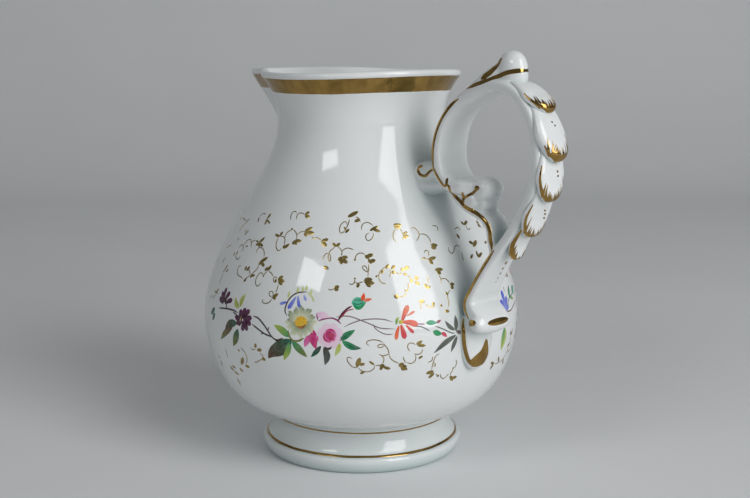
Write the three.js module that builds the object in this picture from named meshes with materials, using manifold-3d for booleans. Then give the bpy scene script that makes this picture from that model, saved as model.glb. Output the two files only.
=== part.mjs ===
// A porcelain milk jug with a scroll handle, built as a potter builds it: a cast body, a turned foot ring,
// and handle pieces cast in their own moulds and luted on with slip, then gilded.
// Millimetres, +Z up. Around the jug's axis the handle points along +X and the spout along -X.
import * as THREE from 'three';
import { mergeVertices } from 'three/addons/utils/BufferGeometryUtils.js';
import loadManifold from 'manifold-3d';

// Clearances and finish
const LUTE_GAP = 0.3; // the line of slip between two luted pieces
const GILT_THICKNESS = 0.2; // raised gilding
const GILT_BED = 0.15; // the bed of size under the gilding
const WELD_DISTANCE = 1e-4;

// Body: the outer skin as radii and heights, with the lengths of the curve between them
const RIM_HEIGHT = 149.4; // outer edge of the lip above the table
const RIM_RADIUS = 38.8;
const RIM_FLARE = 0.89; // slope of the skin at the lip, in radians
const RIM_CURVE = 6.7;
const NECK_DROP = 17.4; // from the rim down to the narrowest of the neck
const NECK_RADIUS = 32.6;
const NECK_CURVE_ABOVE = 7.2;
const NECK_CURVE_BELOW = 21.1;
const BELLY_HEIGHT = 55.8; // the widest of the belly above the table
const BELLY_RADIUS = 62.9;
const BELLY_CURVE_ABOVE = 27.1;
const BELLY_CURVE_BELOW = 9;
const SEAT_RADIUS = 36.5; // flat underside that the foot ring is luted to
const SEAT_FLARE = 0.154; // slope of the skin where it leaves the seat, in radians
const SEAT_CURVE = 23;
const WALL = 2.6;
const FLOOR = 3.5;
const LIP_WAVE = 0.7;
const LIP_WAVES = 2;
const RIM_BAND = 5.8; // width of the gilt band under the lip

// Spout: the lip pulled out along -X
const SPOUT_REACH = 24.8;
const SPOUT_SPREAD = 0.35; // half-width of the pull, in radians round the axis
const SPOUT_DEPTH = 39.4; // how far below the rim the pull starts
const SPOUT_DIP = 1.2; // how far the pulled lip sinks

// Foot ring
const FOOT_HEIGHT = 17.2;
const FOOT_STAND_RADIUS = 37.3; // outer edge of the flat that stands on the table
const FOOT_STAND_WIDTH = 3.6;
const FOOT_BULGE = 2.6;
const FOOT_SHOULDER_RADIUS = 38.9;
const FOOT_SHOULDER_HEIGHT = 6.2;
const FOOT_STEP = 1.4;
const FOOT_COVE_DEPTH = 1.6;
const FOOT_TOP_RADIUS = 36.4;
const FOOT_TOP_WIDTH = 7.4;

// Handle: reaches from the jug's axis, and drops below the rim
const UPPER_WIDTH = 16; // upper scroll, where it springs from the neck
const UPPER_THICKNESS = 5.6;
const ARCH_WIDTH = 13.2; // both straps, where they meet on the arch
const BACK_WIDTH = 12.5; // back strap, at its widest reach
const WAIST_WIDTH = 10.5;
const TAIL_WIDTH = 16;
const BACK_THICKNESS = 4.2;
const LOWER_ROOT_WIDTH = 13; // lower scroll, under the upper scroll
const LOWER_WIDTH = 10.2; // lower scroll, at the tail
const LOWER_THICKNESS = 3;
const LOWER_ROOT_DISTANCE = 4; // along the upper scroll, from the neck joint towards the volute
const LOWER_END_DISTANCE = 13; // along the tail, below the waist
const APEX_REACH = 74; // where the two straps meet on the arch
const APEX_DROP = 2;
const BACK_REACH = 93.5; // the back strap at its widest
const BACK_DROP = 24.7;
const WAIST_REACH = 82.5; // where the back strap turns in above the tail
const WAIST_DROP = 52;
const NECK_JOINT_DROP = 33.8; // where the handle springs from the neck
const NECK_JOINT_STANDOFF = 12.5; // from the neck's skin to the middle of the upper scroll
const VOLUTE_REACH = 67.5;
const VOLUTE_DROP = 39.1;
const VOLUTE_RADIUS = 4.6;
const VOLUTE_END_RADIUS = 1.6;
const VOLUTE_LENGTH = 11;
const KNOP_REACH = 79.5;
const KNOP_HEIGHT = 12; // from the middle of the strap at its apex to the top of the knop
const KNOP_BASE_RADIUS = 4.3;
const KNOP_BULGE = 0.9;
const CREST_LENGTH = 31; // the ridge that runs up the arch into the knop
const CREST_WIDTH = 12;
const CREST_RISE = 2.2;
const CREST_SWEEP = 6.5; // how far the ridge sweeps up to the knop at its end
const CREST_SWEEP_POWER = 3.2;
const ROLL_RISE = 6.6; // middle of the roll above the widest of the belly
const ROLL_RADIUS = 4.1;
const ROLL_LENGTH = 18.4;
const ROLL_END_RADIUS = 1.5;
const TONGUE_RISE = 1.8; // top of the tongue above the middle of the roll
const TONGUE_LENGTH = 21;
const TONGUE_WIDTH = 16;
const TONGUE_SHOULDER = 12.8; // width of the tongue at its top
const TONGUE_THICKNESS = 2.6;
const TONGUE_CURL = 2; // how far the tongue's outline is pulled out at its sides and in at its tip
const PAD_DROP = 2; // the pad slopes down to the neck
const PAD_WIDTH = 11.5;
const PAD_HEIGHT = 8.4;
const PAD_FLARE_WIDTH = 16;
const PAD_FLARE_HEIGHT = 14;
const SECTION_SOFTNESS = 0.4; // 1 makes a strap's section an ellipse, 0 a rectangle
const LEAF_SOFTNESS = 0.6;

// How far the handle's line bows to the left of the straight way between two of its points,
// as shares of that way
const UNDER_BOW_OUTER = 0.083;
const UNDER_BOW_INNER = 0.138;
const LOOP_BOW_ROOT = 0.13;
const LOOP_BOW_SIDE = 0.229;
const LOOP_BOW_SHOULDER = 0.237;
const LOOP_BOW_TOP = 0.137;
const ARCH_BOW_TOP = 0.19;
const ARCH_BOW_TURN = 0.194;
const BACK_BOW = 0.095;
const TAIL_BOW_HIGH = -0.11;
const TAIL_BOW_MIDDLE = -0.177;
const TAIL_BOW_LOW = -0.182;
const LOWER_BOW_ROOT = -0.01;
const LOWER_BOW_DIP = 0.024;
const LOWER_BOW_MIDDLE = 0.083;
const LOWER_BOW_TURN = 0.134;
const LOWER_BOW_FALL = 0.158;
const LOWER_BOW_FOOT = 0.14;
const LOWER_BOW_END = 0.082;

// At what shares of the way those bows are
const UNDER_SHARES = [0.387, 0.72];
const LOOP_SHARES = [0.11, 0.32, 0.55, 0.8];
const ARCH_SHARES = [0.27, 0.61];
const BACK_SHARES = [0.38];
const TAIL_SHARES = [0.35, 0.7, 0.88];
const LOWER_SHARES = [0.216, 0.36, 0.478, 0.568, 0.663, 0.75, 0.837];

// Leaves down the back strap: root and tip measured along the strap from the knop, and the leaf's size
const LEAF_1_ROOT = 0.6;
const LEAF_1_TIP = 15.6;
const LEAF_1_WIDTH = 12.6;
const LEAF_1_RISE = 3;
const LEAF_2_ROOT = 11.6;
const LEAF_2_TIP = 30.4;
const LEAF_2_WIDTH = 13.8;
const LEAF_2_RISE = 4;
const LEAF_3_ROOT = 25.6;
const LEAF_3_TIP = 42.6;
const LEAF_3_WIDTH = 13.2;
const LEAF_3_RISE = 3.2;
const LEAF_4_ROOT = 38.6;
const LEAF_4_TIP = 57;
const LEAF_4_WIDTH = 12.4;
const LEAF_4_RISE = 3.2;
const LEAF_5_ROOT = 52.6;
const LEAF_5_TIP = 67.8;
const LEAF_5_WIDTH = 8.8;
const LEAF_5_RISE = 2.8;
const LEAF_LIFT = 1.8; // the tip of each leaf stands off the root of the next
const LEAF_LIFT_START = 0.55;
const LEAF_BROADEST = 0.5; // share of the length where a leaf is broadest, then thickest
const LEAF_THICKEST = 0.7;
const LEAF_ROOT_WIDTH = 0.7; // shares of its width and rise that a leaf has at its root
const LEAF_ROOT_RISE = 0.35;
const LEAF_TIP_START = 0.82;
const LEAF_FALL = 0.9; // share of a quarter ellipse that a leaf falls by at its ends, which stay blunt

// Facets
const AROUND = 60;
const STRAP_SIDES = 16;
const STRAP_STEP = 3;
const LEAF_STEPS = 12;
const LEAF_SIDES = 8;
const ROUND_SIDES = 12;
const BALL_SIDES = 16;
const UNDERBELLY_STEPS = 7;
const SHOULDER_STEPS = 10;
const FLARE_STEPS = 3;
const LIP_STEPS = 4;
const FOOT_BULGE_STEPS = 6;
const FOOT_COVE_STEPS = 5;
const CREST_STEPS = 10;
const PAD_STEPS = 8;
const TONGUE_STEPS = 10;

// Searches along a curve
const HALVINGS = 30;
const PATH_SAMPLES = 2000;

const wasm = await loadManifold();
wasm.setup();

const PORCELAIN = { color: 0xe9edf0, roughness: 0.15, metalness: 0 };
const GILDING = { color: 0xb98a35, roughness: 0.28, metalness: 0.9 };

// Geometry helpers

function weld(geometry) {
  geometry.deleteAttribute('normal');
  geometry.deleteAttribute('uv');
  const merged = mergeVertices(geometry, WELD_DISTANCE);
  const corners = merged.index.array;
  const kept = [];
  for (let i = 0; i < corners.length; i += 3) {
    const [a, b, c] = corners.slice(i, i + 3);
    if (a !== b && b !== c && c !== a) kept.push(a, b, c);
  }
  merged.setIndex(kept);
  return merged;
}

function toSolid(geometry) {
  const welded = weld(geometry.clone());
  return new wasm.Manifold(new wasm.Mesh({
    numProp: 3,
    vertProperties: new Float32Array(welded.attributes.position.array),
    triVerts: new Uint32Array(welded.index.array),
  }));
}

function toGeometry(solid) {
  const mesh = solid.getMesh();
  const geometry = new THREE.BufferGeometry();
  geometry.setAttribute('position', new THREE.BufferAttribute(mesh.vertProperties, 3));
  geometry.setIndex(new THREE.BufferAttribute(mesh.triVerts, 1));
  return geometry;
}

// What is left of a piece after its neighbours' room is cut out of it.
function carve(geometry, ...rooms) {
  let solid = toSolid(geometry);
  for (const room of rooms) solid = solid.subtract(toSolid(room));
  return toGeometry(solid);
}

function joined(geometry, other) {
  return toGeometry(toSolid(geometry).add(toSolid(other)));
}

function common(geometry, other) {
  return toGeometry(toSolid(geometry).intersect(toSolid(other)));
}

// A closed solid through rings that all have the same number of points, with flat ends.
function loft(rings) {
  const sides = rings[0].length;
  const corners = [];
  for (const ring of rings) for (const point of ring) corners.push(point.x, point.y, point.z);
  const faces = [];
  for (let i = 0; i + 1 < rings.length; i += 1) {
    for (let j = 0; j < sides; j += 1) {
      const a = i * sides + j;
      const b = i * sides + (j + 1) % sides;
      faces.push(a, b, a + sides, b, b + sides, a + sides);
    }
  }
  const last = (rings.length - 1) * sides;
  for (let j = 1; j + 1 < sides; j += 1) {
    faces.push(0, j + 1, j, last, last + j, last + j + 1);
  }
  const geometry = new THREE.BufferGeometry();
  geometry.setAttribute('position', new THREE.Float32BufferAttribute(corners, 3));
  geometry.setIndex(faces);
  return geometry;
}

// A solid of revolution round Z from a profile of (radius, height) points.
function turned(profile) {
  const geometry = new THREE.LatheGeometry(profile, AROUND);
  return weld(geometry.rotateX(Math.PI / 2));
}

function curvePoints(start, startControl, endControl, end, steps) {
  return new THREE.CubicBezierCurve(start, startControl, endControl, end).getPoints(steps);
}

// A profile moved sideways by a distance, to its left where it is positive.
function offsetProfile(profile, distance) {
  return profile.map((point, i) => {
    const before = profile[Math.max(i - 1, 0)];
    const after = profile[Math.min(i + 1, profile.length - 1)];
    const along = after.clone().sub(before).normalize();
    return new THREE.Vector2(point.x - along.y * distance, point.y + along.x * distance);
  });
}

// Body

const SEAT_HEIGHT = FOOT_HEIGHT + LUTE_GAP;
const NECK_HEIGHT = RIM_HEIGHT - NECK_DROP;

function bodySkin() {
  const seat = new THREE.Vector2(SEAT_RADIUS, SEAT_HEIGHT);
  const belly = new THREE.Vector2(BELLY_RADIUS, BELLY_HEIGHT);
  const neck = new THREE.Vector2(NECK_RADIUS, NECK_HEIGHT);
  const rim = new THREE.Vector2(RIM_RADIUS, RIM_HEIGHT);
  const seatLead = new THREE.Vector2(Math.cos(SEAT_FLARE), Math.sin(SEAT_FLARE)).multiplyScalar(SEAT_CURVE);
  const rimLead = new THREE.Vector2(Math.cos(RIM_FLARE), Math.sin(RIM_FLARE)).multiplyScalar(RIM_CURVE);
  const low = curvePoints(
    seat,
    seat.clone().add(seatLead),
    new THREE.Vector2(BELLY_RADIUS, BELLY_HEIGHT - BELLY_CURVE_BELOW),
    belly,
    UNDERBELLY_STEPS,
  );
  const high = curvePoints(
    belly,
    new THREE.Vector2(BELLY_RADIUS, BELLY_HEIGHT + BELLY_CURVE_ABOVE),
    new THREE.Vector2(NECK_RADIUS, NECK_HEIGHT - NECK_CURVE_BELOW),
    neck,
    SHOULDER_STEPS,
  );
  const lip = new THREE.CubicBezierCurve(
    neck,
    new THREE.Vector2(NECK_RADIUS, NECK_HEIGHT + NECK_CURVE_ABOVE),
    rim.clone().sub(rimLead),
    rim,
  );
  const bandStart = parameterAtHeight(lip, RIM_HEIGHT - RIM_BAND);
  const plain = stretchPoints(lip, 0, bandStart);
  const band = stretchPoints(lip, bandStart, 1);
  return { plain: [...low, ...high.slice(1), ...plain.slice(1)], band };
}

function stretchPoints(curve, from, to) {
  const steps = Array.from({ length: FLARE_STEPS + 1 }, (_, i) => i / FLARE_STEPS);
  return steps.map((share) => curve.getPoint(THREE.MathUtils.lerp(from, to, share)));
}

function parameterAtHeight(curve, height) {
  let low = 0;
  let high = 1;
  for (let halving = 0; halving < HALVINGS; halving += 1) {
    const middle = (low + high) / 2;
    if (curve.getPoint(middle).y < height) low = middle;
    else high = middle;
  }
  return low;
}

const skin = bodySkin();
const skinProfile = [...skin.plain, ...skin.band.slice(1)];

// Outer radius of the body at a height.
function skinRadius(height) {
  const above = skinProfile.findIndex((point) => point.y >= height);
  const upper = skinProfile[above];
  const lower = skinProfile[above - 1];
  return lower.x + (upper.x - lower.x) * (height - lower.y) / (upper.y - lower.y);
}

// Pulls the lip out into the spout and gives it its gentle wave.
function pullSpout(geometry) {
  const place = geometry.attributes.position;
  for (let i = 0; i < place.count; i += 1) {
    const [x, y, z] = [place.getX(i), place.getY(i), place.getZ(i)];
    const radius = Math.hypot(x, y);
    const rise = THREE.MathUtils.smoothstep(z, RIM_HEIGHT - SPOUT_DEPTH, RIM_HEIGHT);
    if (rise === 0 || radius < WELD_DISTANCE) continue;
    const turn = Math.atan2(y, -x);
    const bell = Math.exp(-((turn / SPOUT_SPREAD) ** 2));
    const pull = SPOUT_REACH * rise * bell;
    const near = THREE.MathUtils.smoothstep(z, NECK_HEIGHT, RIM_HEIGHT);
    const lift = near * (LIP_WAVE * Math.cos(LIP_WAVES * turn) - SPOUT_DIP * bell);
    place.setXYZ(i, x * (radius + pull) / radius, y * (radius + pull) / radius, z + lift);
  }
  return geometry;
}

function bodyShell() {
  const offset = offsetProfile(skinProfile, WALL);
  const inside = offset.filter((_, i) => i % 2 === 1 || i === skinProfile.length - 1);
  const outerEdge = skinProfile[skinProfile.length - 1];
  const innerEdge = inside[inside.length - 1];
  const middle = outerEdge.clone().add(innerEdge).multiplyScalar(0.5);
  const half = outerEdge.clone().sub(middle);
  const lift = new THREE.Vector2(-half.y, half.x);
  const lip = Array.from({ length: LIP_STEPS - 1 }, (_, i) => {
    const turn = Math.PI * (i + 1) / LIP_STEPS;
    return middle.clone().addScaledVector(half, Math.cos(turn)).addScaledVector(lift, Math.sin(turn));
  });
  const profile = [
    new THREE.Vector2(0, SEAT_HEIGHT),
    ...skinProfile,
    ...lip,
    ...inside.reverse(),
    new THREE.Vector2(0, SEAT_HEIGHT + FLOOR),
  ];
  return pullSpout(turned(profile));
}

// The body's outer skin grown by a distance and filled to the axis: room that the handle keeps clear of.
function bodyRoom(growth) {
  const grown = offsetProfile(skinProfile, -growth);
  const base = new THREE.Vector2(0, grown[0].y);
  const top = new THREE.Vector2(0, grown[grown.length - 1].y);
  return pullSpout(turned([base, ...grown, top]));
}

// Raised gilding over a stretch of a profile.
function gilt(stretch) {
  const inner = offsetProfile(stretch, -GILT_BED);
  const outer = offsetProfile(stretch, -GILT_BED - GILT_THICKNESS);
  const loop = [...outer, ...inner.reverse()];
  return turned([...loop, loop[0]]);
}

// Foot ring

const footShoulder = new THREE.Vector2(FOOT_SHOULDER_RADIUS, FOOT_SHOULDER_HEIGHT);
const footStep = new THREE.Vector2(FOOT_SHOULDER_RADIUS - FOOT_STEP, FOOT_SHOULDER_HEIGHT + FOOT_STEP);

function footRing() {
  const stand = new THREE.Vector2(FOOT_STAND_RADIUS, 0);
  const top = new THREE.Vector2(FOOT_TOP_RADIUS, FOOT_HEIGHT);
  const bulge = curvePoints(
    stand,
    new THREE.Vector2(FOOT_STAND_RADIUS + FOOT_BULGE, 0),
    new THREE.Vector2(FOOT_SHOULDER_RADIUS + FOOT_BULGE, FOOT_SHOULDER_HEIGHT),
    footShoulder,
    FOOT_BULGE_STEPS,
  );
  const coveDepth = new THREE.Vector2(FOOT_COVE_DEPTH, 0);
  const cove = curvePoints(
    footStep,
    footStep.clone().lerp(top, 1 / 3).sub(coveDepth),
    footStep.clone().lerp(top, 2 / 3).sub(coveDepth),
    top,
    FOOT_COVE_STEPS,
  );
  const profile = [
    new THREE.Vector2(FOOT_STAND_RADIUS - FOOT_STAND_WIDTH, 0),
    ...bulge,
    ...cove,
    new THREE.Vector2(FOOT_TOP_RADIUS - FOOT_TOP_WIDTH, FOOT_HEIGHT),
  ];
  return turned([...profile, profile[0]]);
}

// Handle

function handlePoint(reach, drop) {
  return new THREE.Vector3(reach, 0, RIM_HEIGHT - drop);
}

// The points that bow a stretch of the handle between its ends.
function bowed(start, end, shares, bows) {
  const along = end.clone().sub(start);
  const left = new THREE.Vector3(-along.z, 0, along.x);
  return shares.map((share, i) => start.clone().addScaledVector(along, share).addScaledVector(left, bows[i]));
}

const rollHeight = BELLY_HEIGHT + ROLL_RISE;
const tongueFace = skinRadius(rollHeight) + LUTE_GAP + TONGUE_THICKNESS;
const roll = new THREE.Vector3(tongueFace + LUTE_GAP + ROLL_RADIUS, 0, rollHeight);
const neckRadius = skinRadius(RIM_HEIGHT - NECK_JOINT_DROP);
const neckJoint = handlePoint(neckRadius + NECK_JOINT_STANDOFF, NECK_JOINT_DROP);
const apex = handlePoint(APEX_REACH, APEX_DROP);
const widest = handlePoint(BACK_REACH, BACK_DROP);
const waist = handlePoint(WAIST_REACH, WAIST_DROP);
const volute = handlePoint(VOLUTE_REACH, VOLUTE_DROP);
const knop = handlePoint(KNOP_REACH, APEX_DROP);

const LOOP_BOWS = [LOOP_BOW_ROOT, LOOP_BOW_SIDE, LOOP_BOW_SHOULDER, LOOP_BOW_TOP];
const LOWER_BOWS = [
  LOWER_BOW_ROOT,
  LOWER_BOW_DIP,
  LOWER_BOW_MIDDLE,
  LOWER_BOW_TURN,
  LOWER_BOW_FALL,
  LOWER_BOW_FOOT,
  LOWER_BOW_END,
];

// The handle's line: from the volute under the finger loop to the neck, up over the arch, down the back
// of the loop and in along the tail to the roll.
const HANDLE_PATH = new THREE.CatmullRomCurve3([
  volute,
  ...bowed(volute, neckJoint, UNDER_SHARES, [UNDER_BOW_OUTER, UNDER_BOW_INNER]),
  neckJoint,
  ...bowed(neckJoint, apex, LOOP_SHARES, LOOP_BOWS),
  apex,
  ...bowed(apex, widest, ARCH_SHARES, [ARCH_BOW_TOP, ARCH_BOW_TURN]),
  widest,
  ...bowed(widest, waist, BACK_SHARES, [BACK_BOW]),
  waist,
  ...bowed(waist, roll, TAIL_SHARES, [TAIL_BOW_HIGH, TAIL_BOW_MIDDLE, TAIL_BOW_LOW]),
  roll,
]);
const HANDLE_LENGTH = HANDLE_PATH.getLength();
const APEX_SHARE = shareAt(HANDLE_PATH, apex);
const KNOP_SHARE = shareAt(HANDLE_PATH, knop);
const NECK_SHARE = shareAt(HANDLE_PATH, neckJoint);
const WAIST_SHARE = shareAt(HANDLE_PATH, waist);

// Widths of the straps at shares of the handle's line.
const WIDTHS = [
  { share: 0, width: UPPER_WIDTH },
  { share: NECK_SHARE, width: UPPER_WIDTH },
  { share: APEX_SHARE, width: ARCH_WIDTH },
  { share: shareAt(HANDLE_PATH, widest), width: BACK_WIDTH },
  { share: WAIST_SHARE, width: WAIST_WIDTH },
  { share: 1, width: TAIL_WIDTH },
];

// The lower scroll: from inside the upper scroll's bend across to the middle of the tail.
const lowerRoot = HANDLE_PATH.getPointAt(NECK_SHARE - LOWER_ROOT_DISTANCE / HANDLE_LENGTH);
const lowerEnd = HANDLE_PATH.getPointAt(WAIST_SHARE + LOWER_END_DISTANCE / HANDLE_LENGTH);
const LOWER_PATH = new THREE.CatmullRomCurve3([
  lowerRoot,
  ...bowed(lowerRoot, lowerEnd, LOWER_SHARES, LOWER_BOWS),
  lowerEnd,
]);

// Share of a path's length at which it passes a point.
function shareAt(path, point) {
  const distances = path.getSpacedPoints(PATH_SAMPLES).map((passed) => passed.distanceTo(point));
  return distances.indexOf(Math.min(...distances)) / PATH_SAMPLES;
}

function acrossPath(path, u) {
  const along = path.getTangentAt(u);
  return new THREE.Vector3(along.z, 0, -along.x);
}

function widthAt(u) {
  const after = Math.max(WIDTHS.findIndex((knot) => knot.share >= u), 1);
  const [low, high] = [WIDTHS[after - 1], WIDTHS[after]];
  return THREE.MathUtils.lerp(low.width, high.width, THREE.MathUtils.smoothstep(u, low.share, high.share));
}

// A strap with softened edges along a stretch of a path.
function strap(path, start, end, section) {
  const steps = Math.ceil(path.getLength() * (end - start) / STRAP_STEP);
  const rings = [];
  for (let i = 0; i <= steps; i += 1) {
    const u = THREE.MathUtils.lerp(start, end, i / steps);
    const middle = path.getPointAt(u);
    const across = acrossPath(path, u);
    const { width, thickness } = section(u);
    const ring = [];
    for (let side = 0; side < STRAP_SIDES; side += 1) {
      const turn = 2 * Math.PI * side / STRAP_SIDES;
      const y = softened(Math.sin(turn), SECTION_SOFTNESS) * width / 2;
      const out = softened(Math.cos(turn), SECTION_SOFTNESS) * thickness / 2;
      ring.push(middle.clone().addScaledVector(across, out).setY(y));
    }
    rings.push(ring);
  }
  return loft(rings);
}

// The two straps of the handle's line meet end to end at the apex, with the lute gap between them.
function backStrap(growth = 0) {
  const start = APEX_SHARE + (LUTE_GAP / 2 - growth) / HANDLE_LENGTH;
  return strap(HANDLE_PATH, start, 1, (u) => ({
    width: widthAt(u) + 2 * growth,
    thickness: BACK_THICKNESS + 2 * growth,
  }));
}

function upperScroll(growth = 0) {
  const end = APEX_SHARE - (LUTE_GAP / 2 - growth) / HANDLE_LENGTH;
  return strap(HANDLE_PATH, 0, end, (u) => ({
    width: widthAt(u) + 2 * growth,
    thickness: THREE.MathUtils.lerp(UPPER_THICKNESS, BACK_THICKNESS, u / APEX_SHARE) + 2 * growth,
  }));
}

function lowerScroll() {
  return strap(LOWER_PATH, 0, 1, (u) => ({
    width: THREE.MathUtils.lerp(LOWER_ROOT_WIDTH, LOWER_WIDTH, u),
    thickness: LOWER_THICKNESS,
  }));
}

// Squares off a circle's sine or cosine into a soft-edged section.
function softened(value, softness) {
  return Math.sign(value) * Math.abs(value) ** softness;
}

// A bar crowned across its width, through sections of a base, an outward way, a half-width and a height.
function crowned(sections) {
  return loft(sections.map(({ base, outward, halfWidth, height }) => {
    const ring = [];
    for (let side = 0; side <= LEAF_SIDES; side += 1) {
      const turn = Math.PI * side / LEAF_SIDES;
      const crown = base.clone().addScaledVector(outward, height * softened(Math.sin(turn), LEAF_SOFTNESS));
      ring.push(crown.setY(halfWidth * Math.cos(turn)));
    }
    return ring;
  }));
}

// A tongue-shaped leaf lying on the back strap's outside, swelling towards its lifted tip.
function leaf({ root, tip, width, rise }, growth = 0) {
  const sections = Array.from({ length: LEAF_STEPS + 1 }, (_, i) => {
    const share = i / LEAF_STEPS;
    const u = KNOP_SHARE + THREE.MathUtils.lerp(root, tip, share) / HANDLE_LENGTH;
    const outward = acrossPath(HANDLE_PATH, u).negate();
    const lift = LEAF_LIFT * THREE.MathUtils.smoothstep(share, LEAF_LIFT_START, 1);
    const stand = BACK_THICKNESS / 2 + LUTE_GAP + lift - growth;
    return {
      base: HANDLE_PATH.getPointAt(u).addScaledVector(outward, stand),
      outward,
      halfWidth: width / 2 * leafBreadth(share) + growth,
      height: rise * leafSwell(share) + 2 * growth,
    };
  });
  return crowned(sections);
}

function leafBreadth(share) {
  if (share < LEAF_BROADEST) return THREE.MathUtils.lerp(LEAF_ROOT_WIDTH, 1, share / LEAF_BROADEST);
  return arcFall((share - LEAF_BROADEST) / (1 - LEAF_BROADEST));
}

function leafSwell(share) {
  const growing = THREE.MathUtils.lerp(LEAF_ROOT_RISE, 1, Math.min(share / LEAF_THICKEST, 1));
  return growing * arcFall((share - LEAF_TIP_START) / (1 - LEAF_TIP_START));
}

// Falls from 1 along a quarter ellipse as its argument goes from 0 to 1, to a blunt end.
function arcFall(argument) {
  const past = THREE.MathUtils.clamp(argument, 0, 1);
  return Math.sqrt(1 - LEAF_FALL * past * past);
}

// A barrel lying across the handle, rounded off to its ends.
function barrel(middle, { length, radius, endRadius }) {
  const rings = [];
  for (let i = 0; i <= ROUND_SIDES; i += 1) {
    const share = 2 * i / ROUND_SIDES - 1;
    const swell = Math.sqrt(1 - share * share);
    const reach = THREE.MathUtils.lerp(endRadius, radius, swell);
    const ring = [];
    for (let side = 0; side < ROUND_SIDES; side += 1) {
      const turn = 2 * Math.PI * side / ROUND_SIDES;
      const aside = new THREE.Vector3(reach * Math.sin(turn), share * length / 2, reach * Math.cos(turn));
      ring.push(middle.clone().add(aside));
    }
    rings.push(ring);
  }
  return loft(rings);
}

// The rolled end of the upper scroll.
function voluteRoll(growth = 0) {
  return barrel(volute, {
    length: VOLUTE_LENGTH + 2 * growth,
    radius: VOLUTE_RADIUS + growth,
    endRadius: VOLUTE_END_RADIUS + growth,
  });
}

// The rolled end of the tail.
function tailRoll(growth = 0) {
  return barrel(roll, {
    length: ROLL_LENGTH + 2 * growth,
    radius: ROLL_RADIUS + growth,
    endRadius: ROLL_END_RADIUS + growth,
  });
}

// The dome that the thumb rests on, and the ridge that runs up the arch into it.
function thumbKnop(growth = 0) {
  const base = KNOP_BASE_RADIUS + growth;
  const top = KNOP_HEIGHT + growth;
  const side = curvePoints(
    new THREE.Vector2(base, 0),
    new THREE.Vector2(base + KNOP_BULGE, KNOP_HEIGHT / 2),
    new THREE.Vector2(base, top),
    new THREE.Vector2(0, top),
    ROUND_SIDES,
  );
  const dome = new THREE.LatheGeometry([new THREE.Vector2(0, 0), ...side], BALL_SIDES);
  dome.rotateX(Math.PI / 2);
  dome.translate(knop.x, knop.y, knop.z);
  return joined(dome, crest(growth));
}

function crest(growth) {
  const sections = Array.from({ length: CREST_STEPS + 1 }, (_, i) => {
    const share = i / CREST_STEPS;
    const u = KNOP_SHARE - CREST_LENGTH * (1 - share) / HANDLE_LENGTH;
    const rise = CREST_RISE * Math.sin(share * Math.PI / 2) + CREST_SWEEP * share ** CREST_SWEEP_POWER;
    return {
      base: HANDLE_PATH.getPointAt(u),
      outward: acrossPath(HANDLE_PATH, u).negate(),
      halfWidth: CREST_WIDTH / 2 + growth,
      height: BACK_THICKNESS / 2 + LUTE_GAP + rise + growth,
    };
  });
  return crowned(sections);
}

// The tongue under the roll: a leaf outline laid on the belly at an even thickness.
function tailTongue() {
  const half = TONGUE_WIDTH / 2;
  const shoulder = TONGUE_SHOULDER / 2;
  const outline = new THREE.Shape();
  outline.moveTo(-shoulder, 0);
  const broad = half + TONGUE_CURL;
  const narrow = half - TONGUE_CURL;
  outline.bezierCurveTo(-broad, -TONGUE_LENGTH / 2, -narrow, -TONGUE_LENGTH, 0, -TONGUE_LENGTH);
  outline.bezierCurveTo(narrow, -TONGUE_LENGTH, broad, -TONGUE_LENGTH / 2, shoulder, 0);
  outline.closePath();
  const blank = new THREE.ExtrudeGeometry(outline, {
    depth: BELLY_RADIUS,
    bevelEnabled: false,
    curveSegments: TONGUE_STEPS,
  });
  blank.applyMatrix4(new THREE.Matrix4().makeBasis(
    new THREE.Vector3(0, 1, 0),
    new THREE.Vector3(0, 0, 1),
    new THREE.Vector3(1, 0, 0),
  ));
  blank.translate(BELLY_RADIUS / 2, 0, rollHeight + TONGUE_RISE);
  const layer = common(blank, bodyRoom(LUTE_GAP + TONGUE_THICKNESS));
  return carve(layer, bodyRoom(LUTE_GAP), tailRoll(LUTE_GAP), backStrap(LUTE_GAP));
}

// The flared pad that carries the upper scroll on the neck.
function neckPad() {
  const root = handlePoint(neckRadius - WALL, NECK_JOINT_DROP + PAD_DROP);
  const rings = [];
  for (let i = 0; i <= PAD_STEPS; i += 1) {
    const share = i / PAD_STEPS;
    const flare = share ** 2;
    const halfWidth = THREE.MathUtils.lerp(PAD_WIDTH, PAD_FLARE_WIDTH, flare) / 2;
    const halfHeight = THREE.MathUtils.lerp(PAD_HEIGHT, PAD_FLARE_HEIGHT, flare) / 2;
    const middle = neckJoint.clone().lerp(root, share);
    const ring = [];
    for (let side = 0; side < ROUND_SIDES; side += 1) {
      const turn = 2 * Math.PI * side / ROUND_SIDES;
      const aside = new THREE.Vector3(0, halfWidth * Math.sin(turn), halfHeight * Math.cos(turn));
      ring.push(middle.clone().add(aside));
    }
    rings.push(ring);
  }
  return carve(loft(rings), bodyRoom(LUTE_GAP), upperScroll(LUTE_GAP));
}

function piece(name, geometry, finish) {
  const mesh = new THREE.Mesh(geometry, new THREE.MeshStandardMaterial(finish));
  mesh.name = name;
  return mesh;
}

const strapRooms = [backStrap(LUTE_GAP), upperScroll(LUTE_GAP)];
const voluteRoom = voluteRoll(LUTE_GAP);
const LEAVES = [
  { root: LEAF_1_ROOT, tip: LEAF_1_TIP, width: LEAF_1_WIDTH, rise: LEAF_1_RISE },
  { root: LEAF_2_ROOT, tip: LEAF_2_TIP, width: LEAF_2_WIDTH, rise: LEAF_2_RISE },
  { root: LEAF_3_ROOT, tip: LEAF_3_TIP, width: LEAF_3_WIDTH, rise: LEAF_3_RISE },
  { root: LEAF_4_ROOT, tip: LEAF_4_TIP, width: LEAF_4_WIDTH, rise: LEAF_4_RISE },
  { root: LEAF_5_ROOT, tip: LEAF_5_TIP, width: LEAF_5_WIDTH, rise: LEAF_5_RISE },
];

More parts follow.
